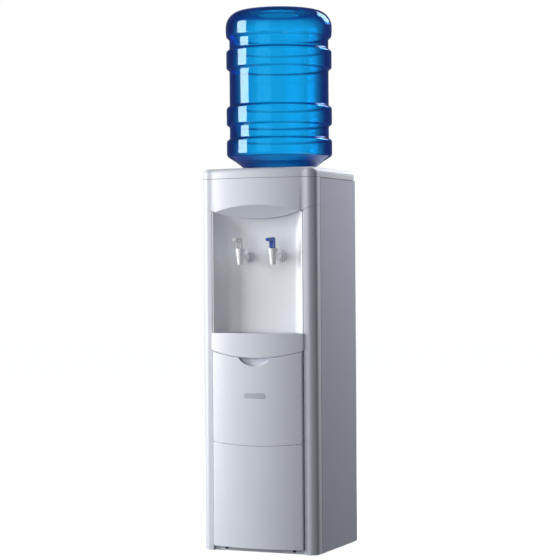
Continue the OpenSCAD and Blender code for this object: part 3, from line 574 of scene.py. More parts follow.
@dataclass(frozen=True)
class Bench:
    """Where the drawing space sits in the frame."""

    face_y: float

    @classmethod
    def on_frame(cls) -> "Bench":
        """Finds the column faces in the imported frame."""
        return cls(face_y=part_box("front_frame")[0].y)

    def to_frame(self) -> Matrix:
        """Matrix from bench millimetres to the frame's metres."""
        return Matrix.Translation((0, self.face_y, 0)) @ Matrix.Scale(MM, 4)

    def corners(self, node: str) -> tuple[Vector, Vector]:
        """Lowest and highest corner of a CAD node in bench millimetres."""
        back = self.to_frame().inverted()
        low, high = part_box(node)
        return back @ low, back @ high

    def place(
        self,
        bm: bmesh.types.BMesh,
        name: str,
        finish: Finish,
        nodes: Sequence[str] = (),
        body: str = "cabinet",
        slot: str = "moulded_front",
        crisp: float = 38,
    ) -> bpy.types.Object:
        """Turns a finished bench mesh into a piece of the object.

        Args:
            bm: the mesh, which is freed.
            name: the piece's name.
            finish: its finish.
            nodes: CAD nodes that it stands for.
            body: CAD body that it rides on.
            slot: the record's material slot; not used.
            crisp: edges that turn by more than this many degrees are shaded sharp.

        Returns:
            The piece's object.
        """
        bmesh.ops.transform(bm, matrix=self.to_frame(), verts=bm.verts)
        for face in bm.faces:
            face.smooth = True
        for edge in bm.edges:
            edge.smooth = edge.calc_face_angle(0) < math.radians(crisp)
        mesh = bpy.data.meshes.new(name)
        bm.to_mesh(mesh)
        bm.free()
        mesh.materials.append(finish.material())
        piece = bpy.data.objects.new(name, mesh)
        bpy.context.scene.collection.objects.link(piece)
        weigh = piece.modifiers.new("even_shading", "WEIGHTED_NORMAL")
        weigh.keep_sharp = True
        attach(piece, body)
        if nodes:
            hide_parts(*nodes)
        log.info("%s: %d faces on %s, for %s", name, len(mesh.polygons), body, list(nodes))
        return piece


def divided(line: Sequence[Point], longest: float, closed: bool = False) -> list[Point]:
    """Adds points to a line so that no chord is longer than the given length.

    Args:
        line: points of the line.
        longest: greatest length of a chord.
        closed: whether the last point joins the first.

    Returns:
        The finer line.
    """
    ends = list(line[1:]) + ([line[0]] if closed else [])
    fine: list[Point] = []
    for a, b in zip(line, ends):
        count = max(1, math.ceil((Vector(b) - Vector(a)).length / longest))
        fine += [(a[0] + (b[0] - a[0]) * i / count, a[1] + (b[1] - a[1]) * i / count)
                 for i in range(count)]
    return fine if closed else fine + [line[-1]]


def soft_min(a: float, b: float, reach: float) -> float:
    """The smaller of two values, blended where they are within reach of each other."""
    h = max(reach - abs(a - b), 0) / reach
    return min(a, b) - h * h * reach / 4


@dataclass(frozen=True)
class FrontPlan:
    """Shared shape of the front: flat columns, round corners, and the bow between them."""

    half_width: float
    depth: float
    corner: float = 22.0
    opening: float = 123.5
    bow: float = 18.0
    wrap: float = 38.0
    panel_bow: float = 24.0
    panel_radius: float = 406.9
    smile_z: float = 835.5
    smile_radius: float = 385.0
    crease_z: float = 869.5
    soffit_angle: float = 46.5
    seam: float = 0.6

    @property
    def bow_radius(self) -> float:
        """Radius of the head's bow."""
        return (self.opening**2 + self.bow**2) / (2 * self.bow)

    def panel_front(self, x: float) -> float:
        """How far back the lower panels' bowed face is at x."""
        return self.panel_radius - self.panel_bow - math.sqrt(self.panel_radius**2 - x * x)

    def smile(self, x: float) -> float:
        """Height of the head's curved lower edge at x."""
        return self.smile_z + self.smile_radius - math.sqrt(self.smile_radius**2 - x * x)

    def soffit(self, y: float) -> float:
        """Height of the sloping soffit at y."""
        return self.crease_z - (y + self.bow) * math.tan(math.radians(self.soffit_angle))

    def soffit_back(self, z: float) -> float:
        """How far back the sloping soffit is at height z."""
        return -self.bow + (self.crease_z - z) / math.tan(math.radians(self.soffit_angle))

    def head_line(self, wrap: float) -> list[Point]:
        """Plan of the head from the left side round the bow to the right side.

        Args:
            wrap: how far back the two ends are.

        Returns:
            The line's points.
        """
        corner, reach = self.corner, self.half_width - self.corner
        half_bow = math.degrees(math.asin(self.opening / self.bow_radius))
        left = arc((-reach, corner), corner, 180, 270, 10)
        bow = arc((0, self.bow_radius - self.bow), self.bow_radius, 270 - half_bow, 270 + half_bow, 44)
        right = arc((reach, corner), corner, 270, 360, 10)
        ends = (-self.half_width, wrap), (self.half_width, wrap)
        return [ends[0], *left, *bow, *right, ends[1]]


def lifted(line: Sequence[Point], closed: bool, steps: Sequence[Point]) -> list[list[Vector]]:
    """Sections that stand on a plan line.

    Args:
        line: plan of the outer face.
        closed: whether its last point joins the first.
        steps: (inset, height) of each point of the section.

    Returns:
        One section for each point of the line.
    """
    return [
        [Vector((x + n.x * inset, y + n.y * inset, z)) for inset, z in steps]
        for (x, y), n in zip(line, inward(line, closed))
    ]


# ---- head ----


@dataclass
class Head:
    """Top cover with the bottle's seat, and the bowed fascia under it."""

    bench: Bench
    plan: FrontPlan
    seam_z: float
    top_z: float
    edge_radius: float = 14.0
    rear_corner: float = 16.0
    wall: float = 3.0
    hole_radius: float = 100.0
    bottle_y: float = 148.0
    throat_z: float = 883.0
    throat: Point = (34.1, 36.6)  # inner and outer radius of the funnel's throat
    cone: Point = (87.4, 88.6)  # and of the top of its cone
    flange: float = 108.0
    spigot: float = 99.4
    above: float = 2.0  # how far the flange stands over the cover
    gap: float = 0.02

    def cover(self) -> None:
        """Builds the top cover, with its long soft edge and the round opening."""
        plan = self.plan
        front = plan.head_line(plan.corner)[1:-1]
        hw, r = plan.half_width, self.rear_corner
        back = rounded([(hw, plan.corner, 0), (hw, plan.depth, r), (-hw, plan.depth, r),
                        (-hw, plan.corner, 0)], 8)[1:-1]
        line = divided(front + back, 9, closed=True)
        turn = spread(0, 90, 8)
        edge = [(self.edge_radius * (1 - math.cos(math.radians(a))),
                 self.top_z - self.edge_radius * (1 - math.sin(math.radians(a)))) for a in turn]
        sections = lifted(line, True, [(0.7, self.seam_z), (0.2, self.seam_z + 0.2),
                                       (0, self.seam_z + 0.8), *edge])
        inner = lifted(line, True, [(self.edge_radius + self.wall, self.top_z - self.wall),
                                    (self.wall + 2, self.top_z - self.wall - 5),
                                    (self.wall, self.top_z - self.edge_radius), (self.wall, self.seam_z)])
        axis = Vector((0, self.bottle_y, 0))
        for section, under, (x, y) in zip(sections, inner, line):
            ray = (Vector((x, y, 0)) - axis).normalized() * self.hole_radius + axis
            section += [Vector((ray.x, ray.y, self.top_z)),
                        Vector((ray.x, ray.y, self.top_z - self.wall)), *under, section[0]]
        bm = shell(sections, closed=True)
        self.bench.place(bm, "top_cover_moulding", FRONT_ABS, ["top_cover"])

    def seat(self) -> None:
        """Builds the funnel that carries the bottle's shoulder."""
        over, rest, under = self.top_z + self.above, self.top_z + self.gap, self.top_z - self.wall
        (inner, outer), (cone, cone_outer) = self.throat, self.cone
        outline = rounded([
            (inner, self.throat_z, 0), (inner, 928.9, 3), (cone, over, 1.2), (self.flange, over, 0.8),
            (self.flange, rest, 0), (self.spigot, rest, 0.2), (self.spigot, under, 1),
            (cone_outer, under, 3), (outer, 926, 2), (outer, self.throat_z, 0),
        ], 4)
        bm = bmesh.new()
        turned(bm, [*outline, outline[0]], Vector((0, self.bottle_y, 0)), steps=96)
        mend(bm)
        self.bench.place(bm, "bottle_seat_funnel", SEAT_ABS, ["bottle_seat"])

    def fascia(self) -> None:
        """Builds the bowed fascia, its sloping soffit and its curved lip."""
        plan = self.plan
        line = divided(plan.head_line(plan.wrap), 8)
        top = self.seam_z - plan.seam
        sections = []
        for (x, y), n in zip(line, inward(line, False)):
            lip_z = plan.smile(x)
            foot_z = max(lip_z, plan.soffit(y))
            lip_y = min(max(y, plan.soffit_back(lip_z)), plan.wrap)
            eased = [Vector((x + n.x * inset, y + n.y * inset, top - drop))
                     for inset, drop in ((0.8, 0), (0.25, 0.2), (0, 0.8))]
            profile = rounded([(y, top - 2, 0), (y, foot_z, 1.6), (lip_y, lip_z, 1.2),
                               (plan.wrap, lip_z, 0)], 4)
            sections.append(eased + [Vector((x, py, pz)) for py, pz in profile])
        self.bench.place(shell(sections), "fascia_moulding", FRONT_ABS, ["fascia"], crisp=30)

    def build(self) -> None:
        """Builds every piece of the head."""
        self.cover()
        self.seat()
        self.fascia()


# ---- cabinet ----


@dataclass
class Surround:
    """Moulded columns and plinth, and the steel sides behind them."""

    bench: Bench
    plan: FrontPlan
    seam_z: float
    skirt_z: float = 2.8
    wall: float = 3.0
    lead_in: float = 2.2
    plinth_y: float = 9.0
    plinth_top: float = 24.0
    strip_width: float = 14.0
    strip_y: Point = (6.4, 9.4)
    strip_top: float = 509.0
    rail_y: float = 8.0
    rail_heights: Point = (262.0, 495.0)
    rail_width: float = 14.0
    eased: float = 0.8
    side_front: float = 40.0
    side_inset: float = 0.5
    flange: float = 14.0
    side_corner: float = 6.0
    sheet: float = 1.2

    def column(self, side: Side) -> None:
        """Builds one wrapped column, from the floor to the head's curved edge."""
        plan = self.plan
        hw, reach, s = plan.half_width, plan.half_width - plan.corner, side.value
        corner = arc((reach, plan.corner), plan.corner, 0, -90, 12)
        inner = rounded([(reach, 0, 0), (plan.opening, 0, self.lead_in), (plan.opening, 11, 0)], 5)
        line = [(hw, plan.wrap), *corner, *inner[1:]]
        line = [(s * x, y) for x, y in line]
        if side is Side.RIGHT:
            line.reverse()
        sections = []
        for (x, y), n in zip(line, inward(line, False)):
            top = plan.smile(x) - plan.seam
            steps = ((0.8, self.skirt_z), (0.2, self.skirt_z + 0.2), (0, self.skirt_z + 0.9),
                     (0, top - 0.9), (0.2, top - 0.2), (0.8, top), (self.wall, top))
            sections.append([Vector((x + n.x * i, y + n.y * i, z)) for i, z in steps])
        name = f"column_{side.name.lower()}"
        self.bench.place(shell(sections), name, FRONT_ABS, ["front_frame"])

    def plinth(self) -> None:
        """Builds the recessed plinth, and the rails and landing strips behind the panels."""
        edge = self.plan.opening + self.wall
        (near, far), opening = self.strip_y, self.plan.opening
        bars = [((-edge, self.plinth_y, self.skirt_z), (edge, self.plinth_y + self.wall, self.plinth_top))]
        for s in (-1, 1):
            low, high = sorted((s * (opening - self.strip_width), s * opening))
            bars.append(((low, near, self.plinth_top - 1), (high, far, self.strip_top)))
        for z in self.rail_heights:
            bars.append(((-edge, self.rail_y, z), (edge, self.rail_y + self.wall, z + self.rail_width)))
        bm = bmesh.new()
        for low, high in bars:
            bar(bm, Vector(low), Vector(high), self.eased)
        self.bench.place(bm, "recessed_plinth", FRONT_ABS)

    def side_sheet(self, side: Side) -> None:
        """Builds one folded steel side, with its flanges turned in."""
        s = side.value
        x = self.plan.half_width - self.side_inset
        depth = self.plan.depth
        line = rounded([(x - self.flange, depth, 0), (x, depth, self.side_corner),
                        (x, self.side_front, 1.6), (x - self.flange, self.side_front, 0)], 8)
        line = [(s * px, py) for px, py in line]
        if side is Side.RIGHT:
            line.reverse()
        foot, top, name = self.skirt_z, self.seam_z - 1, side.name.lower()
        steps = [(self.sheet, foot), (0.3, foot), (0, foot + 0.5), (0, top - 0.5), (0.3, top),
                 (self.sheet, top), (self.sheet, foot)]
        self.bench.place(shell(lifted(line, False, steps)), f"side_sheet_{name}", SIDE_PAINT,
                         [f"side_panel_{name}"], slot="painted_side")

    def build(self) -> None:
        """Builds the columns, the plinth and the sides."""
        for side in Side:
            self.column(side)
            self.side_sheet(side)
        self.plinth()


@dataclass
class Niche:
    """Moulded bay behind the taps: splayed walls, soft corners and a coved ceiling."""

    bench: Bench
    plan: FrontPlan
    depth: float = 45.0
    back_half: float = 92.0
    front_half: float = 120.5
    floor_z: float = 512.5
    cove_z: float = 785.0
    cove_top: float = 853.0
    corner: float = 22.0
    blend: float = 9.0
    fit: float = 0.4
    face_y: float = 0.3
    flange_depth: float = 9.0

    def build(self) -> None:
        """Builds the liner's visible skin and its front flange."""
        rise = self.cove_top - self.cove_z
        radius = (self.depth**2 + rise**2) / (2 * self.depth)
        flange = self.plan.opening - self.fit
        half = [(-flange, self.flange_depth, 0), (-flange, self.face_y, 0.8),
                (-self.front_half, self.face_y, 1.4), (-self.back_half, self.depth, self.corner)]
        line = rounded([*half, *[(-x, y, r) for x, y, r in reversed(half)]], 8)
        line = divided(line, 7)
        heights = spread(self.floor_z, self.cove_z - 12, 12)
        sweep = math.degrees(math.asin(rise / radius))
        coves = [self.cove_z + radius * math.sin(math.radians(a)) for a in spread(-8, sweep, 26)]
        sections = []
        for x, y in line:
            limit = self.plan.smile(x) - self.plan.seam
            section = []
            for z in heights + coves:
                z = min(z, limit)
                up = max(z - self.cove_z, 0)
                ceiling = self.depth - radius + math.sqrt(max(radius**2 - up * up, 0))
                deep = abs(x) < self.front_half
                section.append(Vector((x, soft_min(y, ceiling, self.blend) if deep else y, z)))
            sections.append(section)
        self.bench.place(shell(sections), "niche_bay", NICHE_ABS, ["niche_liner"],
                         slot="niche_moulding", crisp=45)


# ---- bowed panels ----


@dataclass
class BowedPanel:
    """A shell with a bowed face, rounded side edges and curved top and bottom edges."""

    plan: FrontPlan
    half: float
    back: float
    top: Callable[[float], float]
    foot: Callable[[float], float]
    edge: float = 2.4
    lip: float = 0.9
    corner: float = 4.0
    stops: tuple[float, ...] = ()

    def stations(self) -> list[float]:
        """Places across the panel where a section stands, closer together at its rounded ends."""
        ends = [self.half - self.corner * (1 - math.sin(math.radians(a))) for a in spread(0, 90, 7)]
        across = spread(-self.half + self.corner, self.half - self.corner, 72)
        return sorted({round(x, 4) for x in [*across, *ends, *[-e for e in ends], *self.stops]})

    def sections(self) -> list[list[Vector]]:
        """One upright section for each station, from the back of the top edge to the back of the foot."""
        made = []
        for x in self.stations():
            over = max(abs(x) - (self.half - self.corner), 0)
            pull = self.corner - math.sqrt(max(self.corner**2 - over * over, 0))
            over = max(abs(x) - (self.half - self.edge), 0)
            front = self.plan.panel_front(x) + self.edge - math.sqrt(max(self.edge**2 - over * over, 0))
            top, foot = self.top(x), self.foot(x) + pull
            front = min(front, self.back)
            made.append([Vector((x, y, z)) for y, z in rounded(
                [(self.back, top, 0), (front, top, self.lip), (front, foot, self.lip),
                 (self.back, foot, 0)], 5)])
        close_left = [Vector((p.x, self.back, p.z)) for p in made[0]]
        close_right = [Vector((p.x, self.back, p.z)) for p in made[-1]]
        return [close_left, *made, close_right]

    def mesh(self) -> bmesh.types.BMesh:
        """The panel's skin as a new mesh."""
        return shell(self.sections())


@dataclass
class FrontPanels:
    """The two fixed panels below the tray, the finger scoop and the blank badge."""

    bench: Bench
    plan: FrontPlan
    tray: "TrayFront"
    half: float = 121.6
    back: float = 6.0
    seam_z: float = 270.0
    seam_radius: float = 1050.0
    foot_z: float = 15.0
    scoop_half: float = 43.5
    scoop_rise: float = 20.0
    scoop_deep: float = 14.0
    pocket_start: Point = (1.2, -0.2)  # back from the panel's face, up from the scoop's edge
    pocket_top: float = 8.0
    half_seam: float = 0.3
    badge_z: float = 395.0
    badge_half: float = 29.0
    badge_rise: float = 6.5
    badge_ease: float = 0.4

    def seam(self, x: float) -> float:
        """Height of the gentle seam between the panels at x."""
        return self.seam_z + self.seam_radius - math.sqrt(self.seam_radius**2 - x * x)

    def scoop_edge(self, x: float) -> float:
        """Height of the scoop's curved edge at x."""
        radius = (self.scoop_half**2 + self.scoop_rise**2) / (2 * self.scoop_rise)
        return self.tray.foot_z - self.scoop_rise + radius - math.sqrt(radius**2 - x * x)

    def top_edge(self, x: float) -> float:
        """Height of the upper panel's top edge at x, with the scoop let into it."""
        edge = self.tray.foot(x) - self.plan.seam
        return soft_min(edge, self.scoop_edge(x), 2.0) if abs(x) < self.scoop_half else edge

    def upper(self) -> None:
        """Builds the upper panel with the pocket behind its scoop."""
        stops = spread(-self.scoop_half, self.scoop_half, 40)
        bm = BowedPanel(self.plan, self.half, self.back, self.top_edge,
                        lambda x: self.seam(x) + self.half_seam, stops=tuple(stops)).mesh()
        back, up = self.pocket_start
        pocket = []
        for x in stops:
            front, edge = self.plan.panel_front(x), self.scoop_edge(x)
            deep, top = front + self.scoop_deep, max(self.tray.foot_z + self.pocket_top, edge + 2)
            profile = rounded([(front + back, edge + up, 0), (deep, edge + 1.0, 5), (deep, top, 0)])
            pocket.append([Vector((x, py, pz)) for py, pz in profile])
        loft(bm, pocket)
        mend(bm)
        self.bench.place(bm, "upper_front_panel", FRONT_ABS, ["upper_panel"])

    def lower(self) -> None:
        """Builds the plain lower panel."""
        bm = BowedPanel(self.plan, self.half, self.back, lambda x: self.seam(x) - self.half_seam,
                        lambda x: self.foot_z).mesh()
        self.bench.place(bm, "lower_front_panel", FRONT_ABS, ["lower_panel"])

    def badge(self) -> None:
        """Builds the blank oval plate that follows the panel's bow."""
        reach = self.badge_half - self.badge_rise
        ends = [reach + self.badge_rise * math.sin(math.radians(a)) for a in spread(0, 90, 8)]
        sections = []
        for x in sorted({*spread(-reach, reach, 24), *ends, *[-e for e in ends]}):
            over = max(abs(x) - reach, 0)
            rise = max(math.sqrt(max(self.badge_rise**2 - over * over, 0)), 0.05)
            front, ease = self.plan.panel_front(x), min(self.badge_ease, rise)
            sections.append([Vector((x, front + y, self.badge_z + z)) for y, z in (
                (0.3, -rise), (-0.35, -rise), (-0.75, ease - rise), (-0.75, rise - ease),
                (-0.35, rise), (0.3, rise))])
        self.bench.place(shell(sections), "blank_badge", BADGE_ABS, ["badge_plate"], slot="badge")

    def build(self) -> None:
        """Builds both panels and the badge."""
        self.upper()
        self.lower()
        self.badge()


@dataclass
class TrayFront:
    """Pull-out drip tray: bowed front, basin and slotted grille."""

    bench: Bench
    plan: FrontPlan
    half: float = 126.0
    top_z: float = 550.0
    foot_z: float = 488.0
    foot_radius: float = 450.0
    back: float = -0.5
    basin_z: float = 513.0
    basin_front_half: float = 120.0
    basin_back_half: float = 91.5
    basin_depth: float = 44.5
    wall: float = 3.0
    grille_z: float = 543.5
    grille_thick: float = 3.0
    grille_rim: float = 7.0
    bar_pitch: float = 10.0
    bar_width: float = 6.0
    bars_each_side: int = 9
    rib: tuple[Corner, Corner] = ((-102.0, 10.0, 0.0), (102.0, 13.0, -0.8))  # z from the grille's faces

    def foot(self, x: float) -> float:
        """Height of the tray front's curved lower edge at x."""
        return self.foot_z + self.foot_radius - math.sqrt(self.foot_radius**2 - x * x)

    def basin_outline(self, inset: float) -> list[Point]:
        """Plan of the basin, drawn in by inset, bowed in front and splayed behind."""
        half = self.basin_front_half - inset
        front = [(x, self.plan.panel_front(x) + inset) for x in spread(-half, half, 40)]
        back = self.basin_back_half - inset
        return [*front, (half, 0), (back, self.basin_depth - inset), (-back, self.basin_depth - inset),
                (-half, 0)]

    def front(self) -> bmesh.types.BMesh:
        """The bowed front as a new mesh."""
        return BowedPanel(self.plan, self.half, self.back, lambda x: self.top_z, self.foot,
                          edge=3.5, lip=2.6, corner=7.0).mesh()

    def tray(self) -> None:
        """Builds the tray's front and basin."""
        bm = self.front()
        block = [Vector((x, y + (0.4 if y < 0 else 0), self.basin_z)) for x, y in self.basin_outline(0)]
        face = bm.faces.new([bm.verts.new(p) for p in block])
        grown = bmesh.ops.extrude_face_region(bm, geom=[face], use_keep_orig=True)["geom"]
        rim = [g for g in grown if isinstance(g, bmesh.types.BMVert)]
        top = [g for g in grown if isinstance(g, bmesh.types.BMFace)]
        bmesh.ops.translate(bm, verts=rim, vec=(0, 0, self.top_z - 0.3 - self.basin_z))
        sinks = ((self.wall, self.top_z - self.grille_z), (2.0, self.grille_z - 0.3 - self.basin_z - 2))
        for inset, drop in sinks:
            bmesh.ops.inset_region(bm, faces=top, thickness=inset, use_even_offset=True)
            sunk = bmesh.ops.extrude_face_region(bm, geom=top)["geom"]
            top = [g for g in sunk if isinstance(g, bmesh.types.BMFace)]
            moved = [g for g in sunk if isinstance(g, bmesh.types.BMVert)]
            bmesh.ops.translate(bm, verts=moved, vec=(0, 0, -drop))
        bmesh.ops.recalc_face_normals(bm, faces=bm.faces)
        self.bench.place(bm, "drip_tray_moulding", FRONT_ABS, ["drip_tray"], body="drip_tray")

    def grille(self) -> None:
        """Builds the slotted grille: a rim, a cross rib and rows of eased bars."""
        low, high = self.grille_z, self.grille_z + self.grille_thick
        bm = bmesh.new()
        outline = self.basin_outline(self.wall + 0.5)
        face = bm.faces.new([bm.verts.new((x, y, high)) for x, y in outline])
        inner = bmesh.ops.inset_region(bm, faces=[face], thickness=self.grille_rim, use_even_offset=True)
        bmesh.ops.delete(bm, geom=[face], context="FACES_ONLY")
        rim = list(inner["faces"])
        grown = bmesh.ops.extrude_face_region(bm, geom=rim, use_keep_orig=True)["geom"]
        bmesh.ops.translate(bm, verts=[g for g in grown if isinstance(g, bmesh.types.BMVert)],
                            vec=(0, 0, low - high))
        mend(bm)
        soften(bm, 0.6, over=60, segments=2)
        for i in range(-self.bars_each_side, self.bars_each_side):
            x = (i + 0.5) * self.bar_pitch
            front = self.plan.panel_front(x) + 8
            bar(bm, Vector((x - self.bar_width / 2, front, low)),
                Vector((x + self.bar_width / 2, self.basin_depth - 9, high)), 0.8)
        start, end = self.rib
        bar(bm, Vector(start) + Vector((0, 0, low)), Vector(end) + Vector((0, 0, high)), 0.5)
        self.bench.place(bm, "drip_grille_slats", GRILLE_ABS, ["drip_grille"], body="drip_grille",
                         slot="grille_moulding")

    def build(self) -> None:
        """Builds the tray and its grille."""
        self.tray()
        self.grille()


# ---- taps ----


@dataclass
class Tap:
    """Lever tap: a tapered body with a cup for the lever, a barrel and a wall flange."""

    bench: Bench
    side: Side
    offset: float = 44.5
    spout_y: float = -2.0
    foot_z: float = 721.0
    collar_z: float = 753.0
    rim_z: float = 761.0
    barrel_z: float = 741.0
    nozzle: Point = (4.0, 6.9)  # inner and outer radius at the spout's mouth
    taper: float = 10.7
    collar: float = 12.0
    cup: float = 9.8
    cup_deep: float = 6.2
    stem: float = 2.6
    barrel: float = 8.5
    boss: Point = (11.2, 12.2)
    flange: float = 16.0
    thread: float = 6.9
    tail: Point = (3.0, 5.0)  # inner and outer radius of the hose tail
    wall_y: float = 44.0
    pivot_y: float = -6.4
    pivot_z: float = 758.8
    lever_top: float = 788.6
    tip_y: float = -40.0
    lever_half: float = 6.2
    narrowing: float = 0.34  # share of its width that the lever loses at the tip
    cheek: Point = (4.15, 6.15)
    web_half: float = 1.1

    def body(self) -> None:
        """Builds the tap's body with its barrel and flange."""
        bm = bmesh.new()
        x = self.side.value * self.offset
        foot, collar, rim = self.foot_z, self.collar_z, self.rim_z
        (bore, mouth), ceiling, cup_z = self.nozzle, foot + 26, rim - self.cup_deep
        outline = rounded([
            (0, ceiling, 0), (bore, ceiling, 0), (bore, foot, 0.4), (mouth, foot, 0.7),
            (self.taper, collar - 1.6, 0.6), (self.taper, collar - 0.6, 0.3), (self.collar, collar, 0.6),
            (self.collar, rim - 1.4, 0.6), (self.collar - 0.6, rim, 0.6), (self.cup, rim, 0.4),
            (self.cup, cup_z, 0.8), (self.stem, cup_z, 0.2), (self.stem, rim - 9, 0),
        ], 4)
        turned(bm, outline, Vector((x, self.spout_y, 0)))
        y, (boss, boss_foot), (tail_bore, tail) = self.wall_y, self.boss, self.tail
        barrel = rounded([
            (0, 2, 0), (self.barrel, 2, 1), (self.barrel, y - 8, 2.2), (boss, y - 6.4, 0.8),
            (boss_foot, y - 4.2, 1), (self.flange, y - 3.6, 1.4), (self.flange, y, 0.5),
            (self.thread, y, 0), (self.thread, y + 16, 0.6), (tail, y + 16, 0), (tail, y + 36, 0.6),
            (tail_bore, y + 36, 0), (tail_bore, y + 4, 0),
        ], 4)
        turned(bm, barrel, Vector((x, 0, self.barrel_z)), Spin.FORE_AFT)
        mend(bm)
        name = self.side.name.lower()
        self.bench.place(bm, f"tap_body_{name}", TAP_ABS, [f"tap_{name}", f"tap_bonnet_{name}"],
                         slot="tap_plastic")

    def plate(self, bm: bmesh.types.BMesh, outline: Sequence[Point], low: float, high: float) -> None:
        """Adds a slice of the lever, drawn as (y, z) from the hinge pin, between two x values."""
        x = self.side.value * self.offset
        made = prism(bm, [Vector((x + low, self.pivot_y + y, self.pivot_z + z)) for y, z in outline],
                     Vector((high - low, 0, 0)))
        faces = {f for v in made for f in v.link_faces}
        bmesh.ops.recalc_face_normals(bm, faces=list(faces))

    def lever(self, finish: MouldedPlastic, slot: str) -> None:
        """Builds the beak-shaped lever on its two cheeks and centre web.

        Args:
            finish: the lever's plastic.
            slot: the record's material slot.
        """
        top = self.lever_top - self.pivot_z
        tip = self.tip_y - self.pivot_y
        half, root, arm = self.lever_half, top - 13.5, top - 12
        beak = rounded([
            (0, root, 0), (-5.5, root, 2), (-8.5, top - 11.2, 5), (tip, top - 9.6, 3.4),
            (tip, top - 2.9, 3.6), (-4, top + 0.35, 20), (6.4, top - 1.5, 7.2), (5.6, root, 1),
            (0, root, 0),
        ], 7)[:-1]
        bm = bmesh.new()
        self.plate(bm, beak, -half, half)
        x = self.side.value * self.offset
        start = self.pivot_y - 5
        for vert in bm.verts:
            along = max(0.0, (start - vert.co.y) / (start - self.tip_y))
            vert.co.x = x + (vert.co.x - x) * (1 - self.narrowing * along**1.6)
        soften(bm, 1.5, over=55, segments=4)
        cheek = rounded([
            (0, arm, 0), (-5.5, arm, 0), (-5.5, 4.4, 1), (-2.2, 3.3, 0.4), (-2.2, -2.4, 1.6),
            (6.4, -2.4, 1.2), (6.4, 0.6, 0.5), (5.5, 2.6, 0.5), (5.5, arm, 0), (0, arm, 0),
        ], 4)[:-1]
        web = [(-5, 4.4), (-2.4, 3.4), (-2.4, -2.2), (1.2, -2.2), (1.2, arm), (-5, arm)]
        near, far = self.cheek
        for low, high in ((-far, -near), (near, far)):
            self.plate(bm, cheek, low, high)
        self.plate(bm, web, -self.web_half, self.web_half)
        soften(bm, 0.3, over=60, segments=2)
        name = f"lever_{self.side.name.lower()}"
        self.bench.place(bm, name.replace("lever_", "lever_beak_"), finish, [name], body=name, slot=slot)

    def build(self) -> None:
        """Builds the tap and its lever."""
        self.body()
        if self.side is Side.LEFT:
            self.lever(LEVER_CLEAR, "lever_clear")
        else:
            self.lever(LEVER_BLUE, "lever_blue")


# ---- bottle ----


@dataclass
class Bottle:
    """Twenty-litre bottle standing on its neck: three rings, a bulge and a rounded base."""

    bench: Bench
    axis_y: float = 148.0
    ring: float = 135.0
    waist: float = 127.0
    top_z: float = 1370.0
    neck: float = 27.5
    neck_z: float = 897.0
    wall: float = 2.0
    dome: float = 42.0
    dent: float = 8.0
    shoulder_z: float = 925.0
    shoulder: tuple[Corner, ...] = ((90.0, 966.0, 8.0), (113.0, 985.0, 14.0), (131.0, 996.0, 5.0))
    rings: tuple[Point, ...] = ((1002.0, 1037.0), (1079.0, 1121.0), (1223.0, 1266.0))

    def band(self, low: float, high: float) -> list[Corner]:
        """Corners of one ring between two heights."""
        return [(self.waist, low - 6, 5), (self.ring, low, 6), (self.ring, high, 6),
                (self.waist, high + 6, 5)]

    def outline(self) -> list[Point]:
        """Outer outline of the bottle from its mouth to the middle of its base."""
        widest, dent_z = self.ring + 1, self.top_z - self.dent
        corners = [(self.neck, self.neck_z, 0), (self.neck, self.shoulder_z, 3), *self.shoulder,
                   *self.band(*self.rings[0])[1:], *self.band(*self.rings[1]), *self.band(*self.rings[2]),
                   (self.waist, 1296, 4), (self.ring, 1304, 6), (widest, 1316, 8),
                   (widest, self.top_z - self.dome, 0)]
        bulge = arc((widest - self.dome, self.top_z - self.dome), self.dome, 0, 82, 12)
        base = rounded([(*bulge[-1], 0), (60, self.top_z - 0.2, 4), (52, dent_z, 6), (0, dent_z, 0)], 4)
        return [*rounded(corners, 5)[:-1], *bulge, *base[1:]]

    def build(self) -> None:
        """Builds the bottle's wall."""
        bm = bmesh.new()
        turned(bm, self.outline(), Vector((0, self.axis_y, 0)), steps=128)
        mend(bm)
        piece = self.bench.place(bm, "water_bottle", BOTTLE_PC, ["bottle"], body="bottle",
                                 slot="bottle_polycarbonate", crisp=180)
        wall = piece.modifiers.new("wall", "SOLIDIFY")
        wall.thickness = self.wall * MM
        wall.offset = -1
        wall.use_even_offset = True
        piece.modifiers.move(1, 0)


# ---- hidden and rear pieces ----


def dress_fitted() -> None:
    """Gives every CAD node that keeps its shape its finish."""
    finishes = {
        ZINC: ["base_pan", "tank_shelf", "rear_panel"],
        RUBBER: ["feet", "compressor_mounts", "cord_gland", "tap_gaskets"],
        DARK_STEEL: ["plinth_screws"],
        BRIGHT_STEEL: ["rear_screws", "compressor_bolts", "lever_pins", "spring_left", "spring_right",
                       "condenser_brackets"],
        PROBE_PP: ["feed_probe", "reservoir_lid", "tap_nuts", "plunger_left", "plunger_right"],
        CAP_PE: ["bottle_cap"],
        STAINLESS: ["reservoir"],
        COPPER: ["evaporator_coil", "discharge_line", "liquid_line", "capillary", "suction_line",
                 "filter_drier"],
        FOAM: ["insulation"],
        SILICONE: ["hose_cold", "hose_ambient"],
        BLACK_PAINT: ["condenser_tube", "condenser_wires", "compressor"],
        CONTROL_ABS: ["relay_cover", "thermostat_knob"],
        THERMOSTAT_PBT: ["thermostat"],
    }
    for finish, nodes in finishes.items():
        for node in nodes:
            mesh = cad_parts[node].data
            mesh.materials.clear()
            mesh.materials.append(finish.material())
            log.info("%s: finished as %s", node, finish.name)


# ---- studio ----


